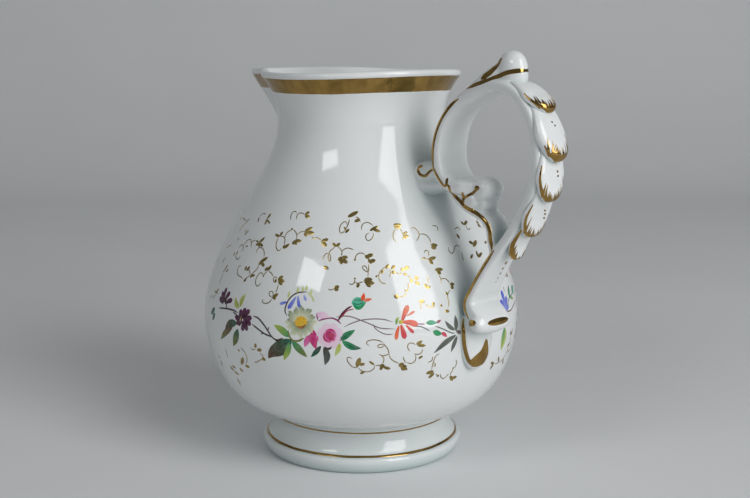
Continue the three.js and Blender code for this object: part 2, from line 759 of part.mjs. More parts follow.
const vessel = new THREE.Group();
vessel.add(
  piece('body', bodyShell(), PORCELAIN),
  piece('rim_gilding', pullSpout(gilt(skin.band)), GILDING),
  piece('foot_ring', footRing(), PORCELAIN),
  piece('foot_gilding', gilt([footShoulder, footStep]), GILDING),
);

const handle = new THREE.Group();
handle.add(
  piece('back_strap', carve(backStrap(), tailRoll(LUTE_GAP), bodyRoom(LUTE_GAP)), PORCELAIN),
  piece('upper_scroll', carve(upperScroll(), voluteRoom), PORCELAIN),
  piece('scroll_volute', voluteRoll(), PORCELAIN),
  piece('lower_scroll', carve(lowerScroll(), ...strapRooms, voluteRoom), PORCELAIN),
  piece('thumb_knop', carve(thumbKnop(), ...strapRooms), PORCELAIN),
  piece('neck_pad', neckPad(), PORCELAIN),
  piece('tail_roll', tailRoll(), PORCELAIN),
  piece('tail_tongue', tailTongue(), PORCELAIN),
);
LEAVES.forEach((shape, i) => {
  const above = i > 0 ? [leaf(LEAVES[i - 1], LUTE_GAP)] : [thumbKnop(LUTE_GAP)];
  handle.add(piece(`back_leaf_${i + 1}`, carve(leaf(shape), ...strapRooms, ...above), PORCELAIN));
});

// The origin is the middle of the footprint, on the table.
const jug = new THREE.Group();
jug.add(vessel, handle);
const extent = new THREE.Box3().setFromObject(jug);
jug.position.x = -(extent.min.x + extent.max.x) / 2;

const model = new THREE.Group();
model.add(jug);

export default model;
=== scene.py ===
# %% [markdown]
# # A porcelain milk jug with a scroll handle
#
# The real jug is a cast porcelain body on a turned foot ring, with a moulded handle luted on with slip. A clear
# glaze covers all of it, flowers are painted over the glaze in enamel colours, and the edges are laid in gold.
# The frame gives the sizes of every solid. This lesson remakes each one finely enough to be seen from close by.

# %% Load the frame
import math
import random

import bpy
import numpy as np
from mathutils import Matrix, Vector
from mathutils.bvhtree import BVHTree


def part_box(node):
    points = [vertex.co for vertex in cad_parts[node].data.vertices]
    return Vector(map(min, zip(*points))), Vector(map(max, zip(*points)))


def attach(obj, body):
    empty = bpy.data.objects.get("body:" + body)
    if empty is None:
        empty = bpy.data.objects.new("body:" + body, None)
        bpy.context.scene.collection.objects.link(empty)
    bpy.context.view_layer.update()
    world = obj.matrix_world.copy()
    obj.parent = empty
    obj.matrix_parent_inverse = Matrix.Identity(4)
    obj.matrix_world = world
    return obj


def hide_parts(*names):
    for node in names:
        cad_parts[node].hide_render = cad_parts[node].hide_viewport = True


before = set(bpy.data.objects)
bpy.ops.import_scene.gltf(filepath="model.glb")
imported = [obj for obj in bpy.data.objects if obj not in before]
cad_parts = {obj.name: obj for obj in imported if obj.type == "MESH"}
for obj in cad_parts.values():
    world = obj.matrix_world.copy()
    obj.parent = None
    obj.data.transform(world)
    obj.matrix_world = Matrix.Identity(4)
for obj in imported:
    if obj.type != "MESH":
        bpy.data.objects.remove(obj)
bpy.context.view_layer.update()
MM = 0.001
foot_low, foot_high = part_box("foot_ring")
AXIS_X = (foot_low.x + foot_high.x) / 2
print("the jug's axis is at x = %.2f mm" % (AXIS_X / MM))

# %% [markdown]
# ## The view
#
# The photograph was taken from a little above the rim, half a metre away, with the handle to the right and turned
# towards the viewer. A camera is a matrix: its columns are the directions right, up and back, and its last column
# is its place. Writing the matrix out keeps all four in step.

# %% Camera
VIEW_TURN = math.radians(48)
VIEW_DISTANCE = 480 * MM
VIEW_HEIGHT = 163 * MM
VIEW_PITCH = math.radians(9.78)
IMAGE_WIDTH, IMAGE_HEIGHT = 750, 498
FOCAL_PIXELS = 1215
AXIS_PIXEL = 361.2
SENSOR_WIDTH = 36

viewer = Vector((math.sin(VIEW_TURN), -math.cos(VIEW_TURN), 0))
viewer_right = Vector((math.cos(VIEW_TURN), math.sin(VIEW_TURN), 0))
upward = Vector((0, 0, 1))
yaw = math.atan((IMAGE_WIDTH / 2 - AXIS_PIXEL) / FOCAL_PIXELS)
level = -viewer * math.cos(yaw) + viewer_right * math.sin(yaw)
camera_right = viewer_right * math.cos(yaw) + viewer * math.sin(yaw)
camera_forward = level * math.cos(VIEW_PITCH) - upward * math.sin(VIEW_PITCH)
camera_up = camera_right.cross(camera_forward)
camera_place = Vector((AXIS_X, 0, VIEW_HEIGHT)) + viewer * VIEW_DISTANCE

lens = bpy.data.cameras.new("photo_view")
lens.lens = SENSOR_WIDTH * FOCAL_PIXELS / IMAGE_WIDTH
lens.sensor_width = SENSOR_WIDTH
camera = bpy.data.objects.new("photo_view", lens)
camera.matrix_world = Matrix((camera_right, camera_up, -camera_forward)).transposed().to_4x4()
camera.location = camera_place
bpy.context.scene.collection.objects.link(camera)
bpy.context.scene.camera = camera
print("camera at", [round(value / MM) for value in camera_place], "mm, lens %.1f mm" % lens.lens)

# %% [markdown]
# ## Glaze, gold and enamel
#
# Glazed porcelain is not plain white: the glaze is thicker and cooler in hollows, and its surface ripples very
# slightly. An Ambient Occlusion node finds the hollows and lays a dark blue-green in them. That is partly the cooler
# glaze and partly painted shade in the crevices, under the neck and inside the handle's loop. Noise gives the
# ripples. Gold on porcelain is a thin burnished film, so it is a dark metal with streaks of polish.

# %% Node helper
NOISE_LOW, NOISE_HIGH = 0.3, 0.7


def add_node(finish, kind, **values):
    """A new node, with the values of its sockets by name."""
    node = finish.node_tree.nodes.new(kind)
    for name, value in values.items():
        node.inputs[name.replace("_", " ")].default_value = value
    return node


def link(finish, output, socket):
    finish.node_tree.links.new(output, socket)


def blank_finish(name):
    finish = bpy.data.materials.new(name)
    finish.use_nodes = True
    return finish, finish.node_tree.nodes["Principled BSDF"]


def noise_between(finish, scale, low, high, detail=3.0):
    """Noise over a piece, stretched to run between two values."""
    noise = add_node(finish, "ShaderNodeTexNoise", Scale=scale, Detail=detail)
    place = add_node(finish, "ShaderNodeTexCoord")
    link(finish, place.outputs["Object"], noise.inputs["Vector"])
    span = add_node(finish, "ShaderNodeMapRange", From_Min=NOISE_LOW, From_Max=NOISE_HIGH, To_Min=low, To_Max=high)
    link(finish, noise.outputs["Fac"], span.inputs["Value"])
    return span.outputs["Result"]


def mixed_colour(finish, share, first, second):
    """A colour between two others, each of them a value or the output of a node."""
    mix = add_node(finish, "ShaderNodeMix")
    mix.data_type = "RGBA"
    for socket, value in ((mix.inputs["Factor"], share), (mix.inputs[6], first), (mix.inputs[7], second)):
        if isinstance(value, (tuple, float)):
            socket.default_value = value
        else:
            link(finish, value, socket)
    return mix.outputs[2]


print("finishes are made from noise between %.1f and %.1f" % (NOISE_LOW, NOISE_HIGH))

# %% Porcelain and gold finishes
GLAZE_WHITE = (0.80, 0.815, 0.815, 1)
GLAZE_SHADE = (0.765, 0.79, 0.79, 1)
# painted shade: the dark blue-green laid in the hollows, partly standing for thicker glaze there
GLAZE_POOL_AND_SHADE = (0.42, 0.53, 0.525, 1)
GOLD_BRIGHT = (0.46, 0.29, 0.085, 1)
GOLD_DEEP = (0.27, 0.165, 0.048, 1)
CLOUD_SCALE, GLAZE_GRAIN, GLAZE_RIPPLE_SCALE, GLAZE_RIPPLE = 28, 60, 220, 0.06
# how far from a surface the painted shade in hollows reaches
HOLLOW_SHADE_REACH, RIPPLE_DEPTH = 16 * MM, 0.1 * MM
GILT_GRAIN, GILT_RIPPLE_SCALE, GILT_RIPPLE = 380, 900, 0.12


def glaze_colour_and_shade(finish):
    cloud = noise_between(finish, CLOUD_SCALE, 0.0, 1.0)
    body_tint = mixed_colour(finish, cloud, GLAZE_WHITE, GLAZE_SHADE)
    # painted shade: ambient occlusion darkens hollows and crevices towards the blue-green, partly as pooled glaze
    hollow_shade = add_node(finish, "ShaderNodeAmbientOcclusion", Distance=HOLLOW_SHADE_REACH)
    return mixed_colour(finish, hollow_shade.outputs["AO"], GLAZE_POOL_AND_SHADE, body_tint)


def rippled(finish, shader, scale, strength):
    bump = add_node(finish, "ShaderNodeBump", Strength=strength, Distance=RIPPLE_DEPTH)
    link(finish, noise_between(finish, scale, 0.0, 1.0, detail=2.0), bump.inputs["Height"])
    link(finish, bump.outputs["Normal"], shader.inputs["Normal"])


def make_porcelain():
    finish, shader = blank_finish("glazed_porcelain")
    link(finish, glaze_colour_and_shade(finish), shader.inputs["Base Color"])
    link(finish, noise_between(finish, GLAZE_GRAIN, 0.05, 0.11), shader.inputs["Roughness"])
    rippled(finish, shader, GLAZE_RIPPLE_SCALE, GLAZE_RIPPLE)
    return finish


def make_gilding(name, deep, bright, streak_scale, metallic, smoothest, roughest, ripple=0.0):
    finish, shader = blank_finish(name)
    streaks = noise_between(finish, streak_scale, 0.0, 1.0)
    link(finish, mixed_colour(finish, streaks, deep, bright), shader.inputs["Base Color"])
    shader.inputs["Metallic"].default_value = metallic
    link(finish, noise_between(finish, GILT_GRAIN, smoothest, roughest), shader.inputs["Roughness"])
    if ripple:
        rippled(finish, shader, GILT_RIPPLE_SCALE, ripple)
    return finish


porcelain = make_porcelain()
gold = make_gilding("burnished_gold", GOLD_DEEP, GOLD_BRIGHT, 240, 1, 0.08, 0.18, GILT_RIPPLE)
print("finishes:", porcelain.name, gold.name)

# %% [markdown]
# ## Meshes from rings
#
# Most pieces are turned on a wheel or drawn along a line, so they can be made from rings of points. One function
# joins rings into a closed skin, and one turns the result into a piece that rides on the jug.

# %% Ring and piece helpers
SHARP_ANGLE = math.radians(40)


def joined_rings(rings, closed_path=False):
    """Points and faces of a skin through rings of equal length, with end caps unless the path closes on itself."""
    sides = len(rings[0])
    points = [tuple(point) for ring in rings for point in ring]
    faces = []
    for i in range(len(rings) if closed_path else len(rings) - 1):
        here, there = i * sides, (i + 1) % len(rings) * sides
        for j in range(sides):
            after = (j + 1) % sides
            faces.append((here + j, here + after, there + after, there + j))
    if not closed_path:
        last = (len(rings) - 1) * sides
        faces.append(tuple(reversed(range(sides))))
        faces.append(tuple(range(last, last + sides)))
    return points, faces


def skin_mesh(name, points, faces):
    mesh = bpy.data.meshes.new(name)
    mesh.from_pydata(points, [], faces)
    mesh.validate()
    mesh.shade_smooth()
    mesh.set_sharp_from_angle(angle=SHARP_ANGLE)
    return mesh


def add_piece(mesh, finish, replaced=()):
    mesh.materials.append(finish)
    piece = bpy.data.objects.new(mesh.name, mesh)
    bpy.context.scene.collection.objects.link(piece)
    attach(piece, "root")
    if replaced:
        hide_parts(*replaced)
    print(piece.name, "has", len(mesh.polygons), "faces")
    return piece


print("edges sharper than %.0f degrees stay sharp" % math.degrees(SHARP_ANGLE))

# %% [markdown]
# ## Body
#
# The body is cast in a plaster mould and is round below, with the lip pulled out by hand into a spout. Its outline
# is three curves, from the seat to the belly, to the neck and to the rim. Turning the outline gives the round form,
# and a pull that fades round the rim and down the neck gives the spout, as a potter's finger does.

# %% Outline of the body
SEAT_RADIUS, SEAT_HEIGHT = 36.5 * MM, 17.5 * MM
SEAT_FLARE, SEAT_CURVE = 0.154, 23 * MM
BELLY_RADIUS, BELLY_HEIGHT = 62.8 * MM, 55.8 * MM
BELLY_CURVE_BELOW, BELLY_CURVE_ABOVE = 9 * MM, 27.1 * MM
NECK_RADIUS, NECK_HEIGHT = 32.6 * MM, 132 * MM
NECK_CURVE_BELOW, NECK_CURVE_ABOVE = 21.1 * MM, 7.2 * MM
RIM_RADIUS, RIM_HEIGHT = 38.8 * MM, 149.4 * MM
RIM_FLARE, RIM_CURVE = 0.89, 6.7 * MM
WALL = 2.6 * MM


def bezier(start, start_control, end_control, end, steps):
    share = np.linspace(0, 1, steps + 1)[:, None]
    corners = [np.array(corner, float) for corner in (start, start_control, end_control, end)]
    weights = ((1 - share) ** 3, 3 * share * (1 - share) ** 2, 3 * share ** 2 * (1 - share), share ** 3)
    return sum(weight * corner for weight, corner in zip(weights, corners))


def lead(angle, length):
    return np.array([math.cos(angle), math.sin(angle)]) * length


def body_outline():
    seat, belly = (SEAT_RADIUS, SEAT_HEIGHT), (BELLY_RADIUS, BELLY_HEIGHT)
    neck, rim = (NECK_RADIUS, NECK_HEIGHT), (RIM_RADIUS, RIM_HEIGHT)
    under_belly = (BELLY_RADIUS, BELLY_HEIGHT - BELLY_CURVE_BELOW)
    low = bezier(seat, seat + lead(SEAT_FLARE, SEAT_CURVE), under_belly, belly, 40)
    shoulder = (BELLY_RADIUS, BELLY_HEIGHT + BELLY_CURVE_ABOVE)
    high = bezier(belly, shoulder, (NECK_RADIUS, NECK_HEIGHT - NECK_CURVE_BELOW), neck, 48)
    flare = bezier(neck, (NECK_RADIUS, NECK_HEIGHT + NECK_CURVE_ABOVE), rim - lead(RIM_FLARE, RIM_CURVE), rim, 24)
    return np.concatenate([low, high[1:], flare[1:]])


def outward_normals(outline):
    along = np.gradient(outline, axis=0)
    along /= np.linalg.norm(along, axis=1)[:, None]
    return np.stack([along[:, 1], -along[:, 0]], axis=1)


outline = body_outline()
outline_normals = outward_normals(outline)
print("the outline has", len(outline), "points")

# %% Spout and lip
SPOUT_REACH, SPOUT_SPREAD = 24.75 * MM, 0.35
SPOUT_DEPTH, SPOUT_DIP = 39.4 * MM, 1.2 * MM
LIP_WAVE, LIP_WAVES = 0.7 * MM, 2


def smooth_step(value, low, high):
    share = np.clip((value - low) / (high - low), 0, 1)
    return share * share * (3 - 2 * share)


def pull_spout(points):
    """Pulls points round the jug's axis, where it is x = 0, out into the spout, and waves the lip."""
    points = np.array(points, float)
    radius = np.hypot(points[:, 0], points[:, 1])
    turn = np.arctan2(points[:, 1], -points[:, 0])
    bell = np.exp(-((turn / SPOUT_SPREAD) ** 2))
    pull = SPOUT_REACH * smooth_step(points[:, 2], RIM_HEIGHT - SPOUT_DEPTH, RIM_HEIGHT) * bell
    share = 1 + pull / np.maximum(radius, MM)
    near_lip = smooth_step(points[:, 2], NECK_HEIGHT, RIM_HEIGHT)
    lift = near_lip * (LIP_WAVE * np.cos(LIP_WAVES * turn) - SPOUT_DIP * bell)
    return np.stack([points[:, 0] * share, points[:, 1] * share, points[:, 2] + lift], axis=1)


def onto_axis(points):
    """Moves points from round x = 0 to round the jug's axis."""
    return np.array(points) + np.array([AXIS_X, 0, 0])


print("the spout reaches %.1f mm past the round lip" % (SPOUT_REACH / MM))

# %% Turn the body
AROUND = 192


def turned_ring(radius, height, around=AROUND):
    turns = 2 * np.pi * np.arange(around) / around
    return np.stack([radius * np.cos(turns), radius * np.sin(turns), np.full(around, height)], axis=1)


def body_section():
    inside = (outline - outline_normals * WALL)[::2]
    edge, inner_edge = outline[-1], inside[-1]
    middle, half = (edge + inner_edge) / 2, (edge - inner_edge) / 2
    lift = np.array([-half[1], half[0]])
    lip = [middle + half * math.cos(turn) + lift * math.sin(turn) for turn in np.linspace(0, math.pi, 14)[1:-1]]
    return np.concatenate([outline, lip, inside[::-1]])


points, faces = joined_rings([turned_ring(radius, height) for radius, height in body_section()])
mesh = skin_mesh("body_glazed", onto_axis(pull_spout(points)).tolist(), faces)
body = add_piece(mesh, porcelain, ["body"])

# %% [markdown]
# ## Foot ring
#
# The foot is turned on the wheel: a rounded stand, a step for the gilt line, and a hollow cove up to the body. Its
# section is turned like the body's, and it runs a little way up into the seat, as slip closes that joint.

# %% Turn the foot
FOOT_STAND_RADIUS, FOOT_STAND_WIDTH = 37.3 * MM, 3.6 * MM
FOOT_BULGE, FOOT_STEP = 2.6 * MM, 1.4 * MM
FOOT_SHOULDER_RADIUS, FOOT_SHOULDER_HEIGHT = 38.9 * MM, 6.2 * MM
FOOT_COVE_DEPTH = 1.6 * MM
FOOT_TOP_RADIUS, FOOT_TOP_WIDTH = 36.4 * MM, 7.4 * MM
FOOT_TOP = SEAT_HEIGHT + 0.3 * MM


def foot_outline():
    stand, top = np.array([FOOT_STAND_RADIUS, 0]), np.array([FOOT_TOP_RADIUS, FOOT_TOP])
    shoulder = np.array([FOOT_SHOULDER_RADIUS, FOOT_SHOULDER_HEIGHT])
    step = shoulder + np.array([-FOOT_STEP, FOOT_STEP])
    out, cove_in = np.array([FOOT_BULGE, 0]), np.array([FOOT_COVE_DEPTH, 0])
    bulge = bezier(stand, stand + out, shoulder + out, shoulder, 20)
    cove = bezier(step, step + (top - step) / 3 - cove_in, step + (top - step) * 2 / 3 - cove_in, top, 16)
    return bulge, cove


foot_bulge, foot_cove = foot_outline()
under = [(FOOT_TOP_RADIUS - FOOT_TOP_WIDTH, FOOT_TOP), (FOOT_STAND_RADIUS - FOOT_STAND_WIDTH, 0)]
foot_section = np.concatenate([foot_bulge, foot_cove, under])
points, faces = joined_rings([turned_ring(radius, height) for radius, height in foot_section], closed_path=True)
mesh = skin_mesh("foot_glazed", onto_axis(points).tolist(), faces)
add_piece(mesh, porcelain, ["foot_ring"])

# %% [markdown]
# ## Gilt band and gilt lines
#
# Gold is brushed on while the jug turns on a banding wheel, so its edges run nearly true but breathe a little with
# the hand. Each band is a thin shell that follows the surface under it, with a slow wave in its edges.

# %% Bands round the jug
GILT_RISE, GILT_SINK = 0.08 * MM, 0.1 * MM
RIM_BAND, RIM_BARE = 5.8 * MM, 0.25 * MM
FOOT_LINE_LOW, FOOT_LINE_HIGH = 0.1, 0.62
SEAT_LINE_LOW, SEAT_LINE_HIGH = SEAT_HEIGHT - 2.7 * MM, SEAT_HEIGHT - 2.1 * MM
BAND_STEPS, BAND_AROUND = 8, 384
WAVE_COUNTS = (3, 5, 8, 13, 21)


def hand_wave(turn, size, seed):
    """A slow unevenness round the jug, as of a hand-held brush."""
    draw = random.Random(seed)
    waves = [(count, draw.uniform(0.3, 1), draw.uniform(0, 2 * math.pi)) for count in WAVE_COUNTS]
    return size * sum(share * np.sin(count * turn + start) for count, share, start in waves) / len(waves)


def band_shell(place_on, low_edge, high_edge):
    """A thin closed shell between two edges: place_on(share, lift) gives a section point at each turn."""
    rings = []
    for turn in 2 * np.pi * np.arange(BAND_AROUND) / BAND_AROUND:
        shares = np.linspace(low_edge(turn), high_edge(turn), BAND_STEPS + 1)
        swell = np.sqrt(1 - np.linspace(-1, 1, BAND_STEPS + 1) ** 6)
        upper = [place_on(share, GILT_RISE * rise) for share, rise in zip(shares, swell)]
        lower = [place_on(share, -GILT_SINK) for share in reversed(shares)]
        spin = np.array([math.cos(turn), math.sin(turn)])
        rings.append([(radius * spin[0], radius * spin[1], height) for radius, height in upper + lower])
    points, faces = joined_rings(rings, closed_path=True)
    return points, [tuple(reversed(face)) for face in faces]


def gild_round(name, place_on, low, high, waves, seed, pull=np.array, replaced=()):
    """A gilt band between two places of a section, with a hand's wave in its low and its high edge."""
    points, faces = band_shell(
        place_on,
        lambda turn: low + hand_wave(turn, waves[0], seed),
        lambda turn: high + hand_wave(turn, waves[1], seed + 1),
    )
    add_piece(skin_mesh(name, onto_axis(pull(points)).tolist(), faces), gold, replaced)


outline_heights = outline[:, 1]


def on_skin(height, lift):
    """A point of the body's section at a height, lifted off its skin."""
    radius = np.interp(height, outline_heights, outline[:, 0])
    normal = [np.interp(height, outline_heights, outline_normals[:, axis]) for axis in (0, 1)]
    return radius + normal[0] * lift, height + normal[1] * lift


def on_foot_step(share, lift):
    start, end = foot_bulge[-1], foot_cove[0]
    slope = (end - start) / np.linalg.norm(end - start)
    return start + (end - start) * share + np.array([slope[1], -slope[0]]) * lift


def on_foot_cove(height, lift):
    return np.interp(height, foot_cove[:, 1], foot_cove[:, 0]) + lift, height


rim_edges = (RIM_HEIGHT - RIM_BAND, RIM_HEIGHT - RIM_BARE)
gild_round("rim_band_gold", on_skin, *rim_edges, (0.25 * MM, 0.1 * MM), 3, pull_spout, ["rim_gilding"])
gild_round("foot_line_gold", on_foot_step, FOOT_LINE_LOW, FOOT_LINE_HIGH, (0.1, 0.1), 5, replaced=["foot_gilding"])
gild_round("seat_line_gold", on_foot_cove, SEAT_LINE_LOW, SEAT_LINE_HIGH, (0.08 * MM, 0.08 * MM), 7)

# %% [markdown]
# ## The line of the handle
#
# The handle is one flowing line: it rolls up in a volute under the finger loop, springs from the neck, climbs over
# the arch, falls down the back and runs in along a tail to a roll on the belly. A curve through a few points gives
# that line, and straps, leaves and ridges are all measured along it.

# %% Points of the handle's line
LOOP_RADIUS_AT_NECK, NECK_DROP = 12.5 * MM, 33.8 * MM
ROLL_RISE, ROLL_RADIUS, TONGUE_THICKNESS = 6.6 * MM, 4.1 * MM, 2.6 * MM
LUTE = 0.3 * MM
TANGENT_STEP = 0.2 * MM
LOWER_START, LOWER_FINISH = 4 * MM, 13 * MM


def handle_point(reach, drop):
    return np.array([reach * MM, RIM_HEIGHT - drop * MM])


def skin_radius(height):
    return float(np.interp(height, outline_heights, outline[:, 0]))


neck_height = RIM_HEIGHT - NECK_DROP
neck_joint = np.array([skin_radius(neck_height) + LOOP_RADIUS_AT_NECK, neck_height])
volute, apex = handle_point(67.5, 39.1), handle_point(74, 2)
widest, waist = handle_point(93.5, 24.7), handle_point(82.5, 52)
knop = handle_point(79.5, 2)
roll_height = BELLY_HEIGHT + ROLL_RISE
roll = np.array([skin_radius(roll_height) + 2 * LUTE + TONGUE_THICKNESS + ROLL_RADIUS, roll_height])


def bowed(start, end, bows):
    """Points that bow a stretch to the left of its straight way, as shares of that way: (along, aside)."""
    along = end - start
    left = np.array([-along[1], along[0]])
    return [start + along * share + left * aside for share, aside in bows]


def flowing(points, steps=40):
    """A smooth line through points, drawn as a centripetal Catmull-Rom curve."""
    points = [2 * points[0] - points[1], *points, 2 * points[-1] - points[-2]]
    line = []
    for before, start, end, after in zip(points, points[1:], points[2:], points[3:]):
        gaps = [math.sqrt(np.linalg.norm(b - a)) for a, b in ((before, start), (start, end), (end, after))]
        lead_in = ((start - before) / gaps[0] - (end - before) / (gaps[0] + gaps[1]) + (end - start) / gaps[1])
        lead_out = ((end - start) / gaps[1] - (after - start) / (gaps[1] + gaps[2]) + (after - end) / gaps[2])
        lead_in, lead_out = lead_in * gaps[1], lead_out * gaps[1]
        for share in np.arange(steps) / steps:
            square, cube = share ** 2, share ** 3
            swing = (2 * start - 2 * end + lead_in + lead_out) * cube
            swing = swing + (-3 * start + 3 * end - 2 * lead_in - lead_out) * square
            line.append(start + lead_in * share + swing)
    line.append(points[-2])
    return np.array(line)


class Line:
    """A smooth line in the handle's plane, measured along its length."""

    def __init__(self, points):
        self.points = flowing(points)
        self.lengths = np.concatenate([[0], np.cumsum(np.linalg.norm(np.diff(self.points, axis=0), axis=1))])
        self.length = self.lengths[-1]

    def at(self, distance):
        return np.array([np.interp(distance, self.lengths, self.points[:, axis]) for axis in (0, 1)])

    def outward(self, distance):
        along = self.at(min(distance + TANGENT_STEP, self.length)) - self.at(max(distance - TANGENT_STEP, 0))
        along /= np.linalg.norm(along)
        return np.array([-along[1], along[0]])

    def nearest(self, point):
        return float(self.lengths[np.linalg.norm(self.points - point, axis=1).argmin()])


handle_line = Line([
    volute, *bowed(volute, neck_joint, [(0.387, 0.083), (0.72, 0.138)]),
    neck_joint, *bowed(neck_joint, apex, [(0.11, 0.13), (0.32, 0.229), (0.55, 0.237), (0.8, 0.137)]),
    apex, *bowed(apex, widest, [(0.27, 0.19), (0.61, 0.194)]),
    widest, *bowed(widest, waist, [(0.38, 0.095)]),
    waist, *bowed(waist, roll, [(0.35, -0.11), (0.7, -0.177), (0.88, -0.182)]), roll,
])
neck_at, waist_at = handle_line.nearest(neck_joint), handle_line.nearest(waist)
lower_root, lower_end = handle_line.at(neck_at - LOWER_START), handle_line.at(waist_at + LOWER_FINISH)
LOWER_BOWS = [
    (0.216, -0.01), (0.36, 0.024), (0.478, 0.083), (0.568, 0.134), (0.663, 0.158), (0.75, 0.14), (0.837, 0.082),
]
lower_line = Line([lower_root, *bowed(lower_root, lower_end, LOWER_BOWS), lower_end])
apex_at, knop_at = handle_line.nearest(apex), handle_line.nearest(knop)
print("the handle's line is %.0f mm long" % (handle_line.length / MM))

# %% [markdown]
# ## Straps, ridge, rolls and tongue
#
# The real handle is pressed in a mould as one soft form, so its joints have no seams. Here each strap and roll is
# lofted along the line, and a little clay is pressed into the crook under the bud. Then all of them are melted
# together: a voxel remesh joins the skins and a little smoothing rounds the inner corners, as running glaze does.

# %% Lofts along the line
UPPER_WIDTH, UPPER_THICKNESS = 16 * MM, 5.6 * MM
ARCH_WIDTH, BACK_WIDTH, WAIST_WIDTH, TAIL_WIDTH = 13.2 * MM, 12.5 * MM, 10.5 * MM, 16 * MM
BACK_THICKNESS, TAIL_SWELL = 4.2 * MM, 3.4 * MM
LOWER_ROOT_WIDTH, LOWER_WIDTH, LOWER_THICKNESS = 13 * MM, 10.2 * MM, 3 * MM
WEB_START, WEB_END = 5 * MM, 0.6 * lower_line.length
WEB_THIN, WEB_THICK, WEB_SHIFT = 1.2 * MM, 3.0 * MM, 2.3 * MM
WEB_INSET, WEB_TAPER = 0.8 * MM, 1.6 * MM
BUD_END_SHARE, BUD_TAPER = 0.56, 8 * MM
SWELL_START, SWELL_END = 13 * MM, 2 * MM
STRAP_SIDES, STRAP_STEP = 40, 0.8 * MM
EDGE_SOFTNESS = 0.4

width_places = [0, neck_at, apex_at, handle_line.nearest(widest), waist_at, handle_line.length]
strap_widths = [UPPER_WIDTH, UPPER_WIDTH, ARCH_WIDTH, BACK_WIDTH, WAIST_WIDTH, TAIL_WIDTH]


def strap_width(distance):
    after = min(max(int(np.searchsorted(width_places, distance)), 1), len(width_places) - 1)
    share = smooth_step(distance, width_places[after - 1], width_places[after])
    narrowed = BUD_END_SHARE + (1 - BUD_END_SHARE) * smooth_step(distance, 0, BUD_TAPER)
    return (strap_widths[after - 1] + (strap_widths[after] - strap_widths[after - 1]) * share) * narrowed


def strap_thickness(distance):
    share = min(distance / apex_at, 1)
    to_end = (handle_line.length - SWELL_START, handle_line.length - SWELL_END)
    swell = TAIL_SWELL * smooth_step(distance, *to_end)
    return UPPER_THICKNESS + (BACK_THICKNESS - UPPER_THICKNESS) * share + swell


def softened(value, softness):
    return np.sign(value) * np.abs(value) ** softness


def in_handle(point, aside, outward=(0, 0), off=0.0):
    """A point of space from a point of the handle's plane, moved outward and aside."""
    return AXIS_X + point[0] + outward[0] * off, aside, point[1] + outward[1] * off


def strap(line, start, end, width, thickness, shift=lambda distance: 0.0):
    """A strap with soft edges along a stretch of a line."""
    turns = 2 * np.pi * np.arange(STRAP_SIDES) / STRAP_SIDES
    rings = []
    for distance in np.linspace(start, end, int((end - start) / STRAP_STEP) + 2):
        middle, outward = line.at(distance), line.outward(distance)
        asides = -softened(np.sin(turns), EDGE_SOFTNESS) * width(distance) / 2
        offs = shift(distance) + softened(np.cos(turns), EDGE_SOFTNESS) * thickness(distance) / 2
        rings.append([in_handle(middle, aside, outward, off) for aside, off in zip(asides, offs)])
    return joined_rings(rings)


def lower_width(distance):
    return LOWER_ROOT_WIDTH + (LOWER_WIDTH - LOWER_ROOT_WIDTH) * distance / lower_line.length


def lower_thickness(distance):
    return LOWER_THICKNESS


def web_left(distance):
    """What is left of the clay pressed into the crook between the two scrolls, at a place on the lower one."""
    return 1 - smooth_step(distance, WEB_START, WEB_END)


def web_thickness(distance):
    return WEB_THIN + WEB_THICK * web_left(distance)


def web_shift(distance):
    return WEB_SHIFT * web_left(distance)


def web_width(distance):
    return lower_width(distance) - WEB_INSET - WEB_TAPER * (1 - web_left(distance))


def barrel(middle, length, radius, end_radius):
    """A round roll that lies across the handle."""
    turns = 2 * np.pi * np.arange(STRAP_SIDES) / STRAP_SIDES
    ways = [(math.sin(turn), math.cos(turn)) for turn in turns]
    rings = []
    for share in np.sin(np.linspace(-np.pi / 2, np.pi / 2, 33)):
        reach = end_radius + (radius - end_radius) * math.sqrt(max(1 - share * share, 0))
        rings.append([in_handle(middle, share * length / 2, way, reach) for way in ways])
    return joined_rings(rings)


print("the lower scroll is %.0f mm long" % (lower_line.length / MM))

# %% Ridge and knop
KNOP_HEIGHT, KNOP_BASE_RADIUS, KNOP_BULGE = 12 * MM, 4.3 * MM, 0.9 * MM
CREST_LENGTH, CREST_WIDTH = 31 * MM, 12 * MM
CREST_RISE, CREST_SWEEP, CREST_SWEEP_POWER = 2.2 * MM, 6.5 * MM, 3.2
CREST_TAPER, CREST_TAPER_START = 0.4, 0.7
DOME_SET_BACK, DOME_STRETCH = 1.6 * MM, 1.33


def crowned(sections, sides=24, softness=0.6):
    """A bar crowned across its width, through sections of (middle, outward, half-width, height)."""
    turns = np.linspace(0, np.pi, sides + 1)
    rings = []
    for middle, outward, half_width, height in sections:
        offs = height * softened(np.sin(turns), softness)
        rings.append([in_handle(middle, half_width * math.cos(turn), outward, off) for turn, off in zip(turns, offs)])
    return joined_rings(rings)


def crest():
    sections = []
    for share in np.linspace(0, 1, 60):
        distance = knop_at - CREST_LENGTH * (1 - share)
        rise = CREST_RISE * math.sin(share * math.pi / 2) + CREST_SWEEP * share ** CREST_SWEEP_POWER
        height = BACK_THICKNESS / 2 + LUTE + rise
        half_width = CREST_WIDTH / 2 * (1 - CREST_TAPER * smooth_step(share, CREST_TAPER_START, 1))
        sections.append((handle_line.at(distance), handle_line.outward(distance), half_width, height))
    return crowned(sections, softness=0.5)


def dome():
    side = bezier(
        (KNOP_BASE_RADIUS, 0), (KNOP_BASE_RADIUS + KNOP_BULGE, KNOP_HEIGHT / 2),
        (KNOP_BASE_RADIUS, KNOP_HEIGHT), (0.02 * MM, KNOP_HEIGHT), 40,
    )
    base = np.array([AXIS_X + knop[0] - DOME_SET_BACK, 0, knop[1]])
    stretch = np.array([DOME_STRETCH, 1, 1])
    return joined_rings([turned_ring(radius, height, 48) * stretch + base for radius, height in side])


print("the knop stands %.0f mm above the arch" % (KNOP_HEIGHT / MM))

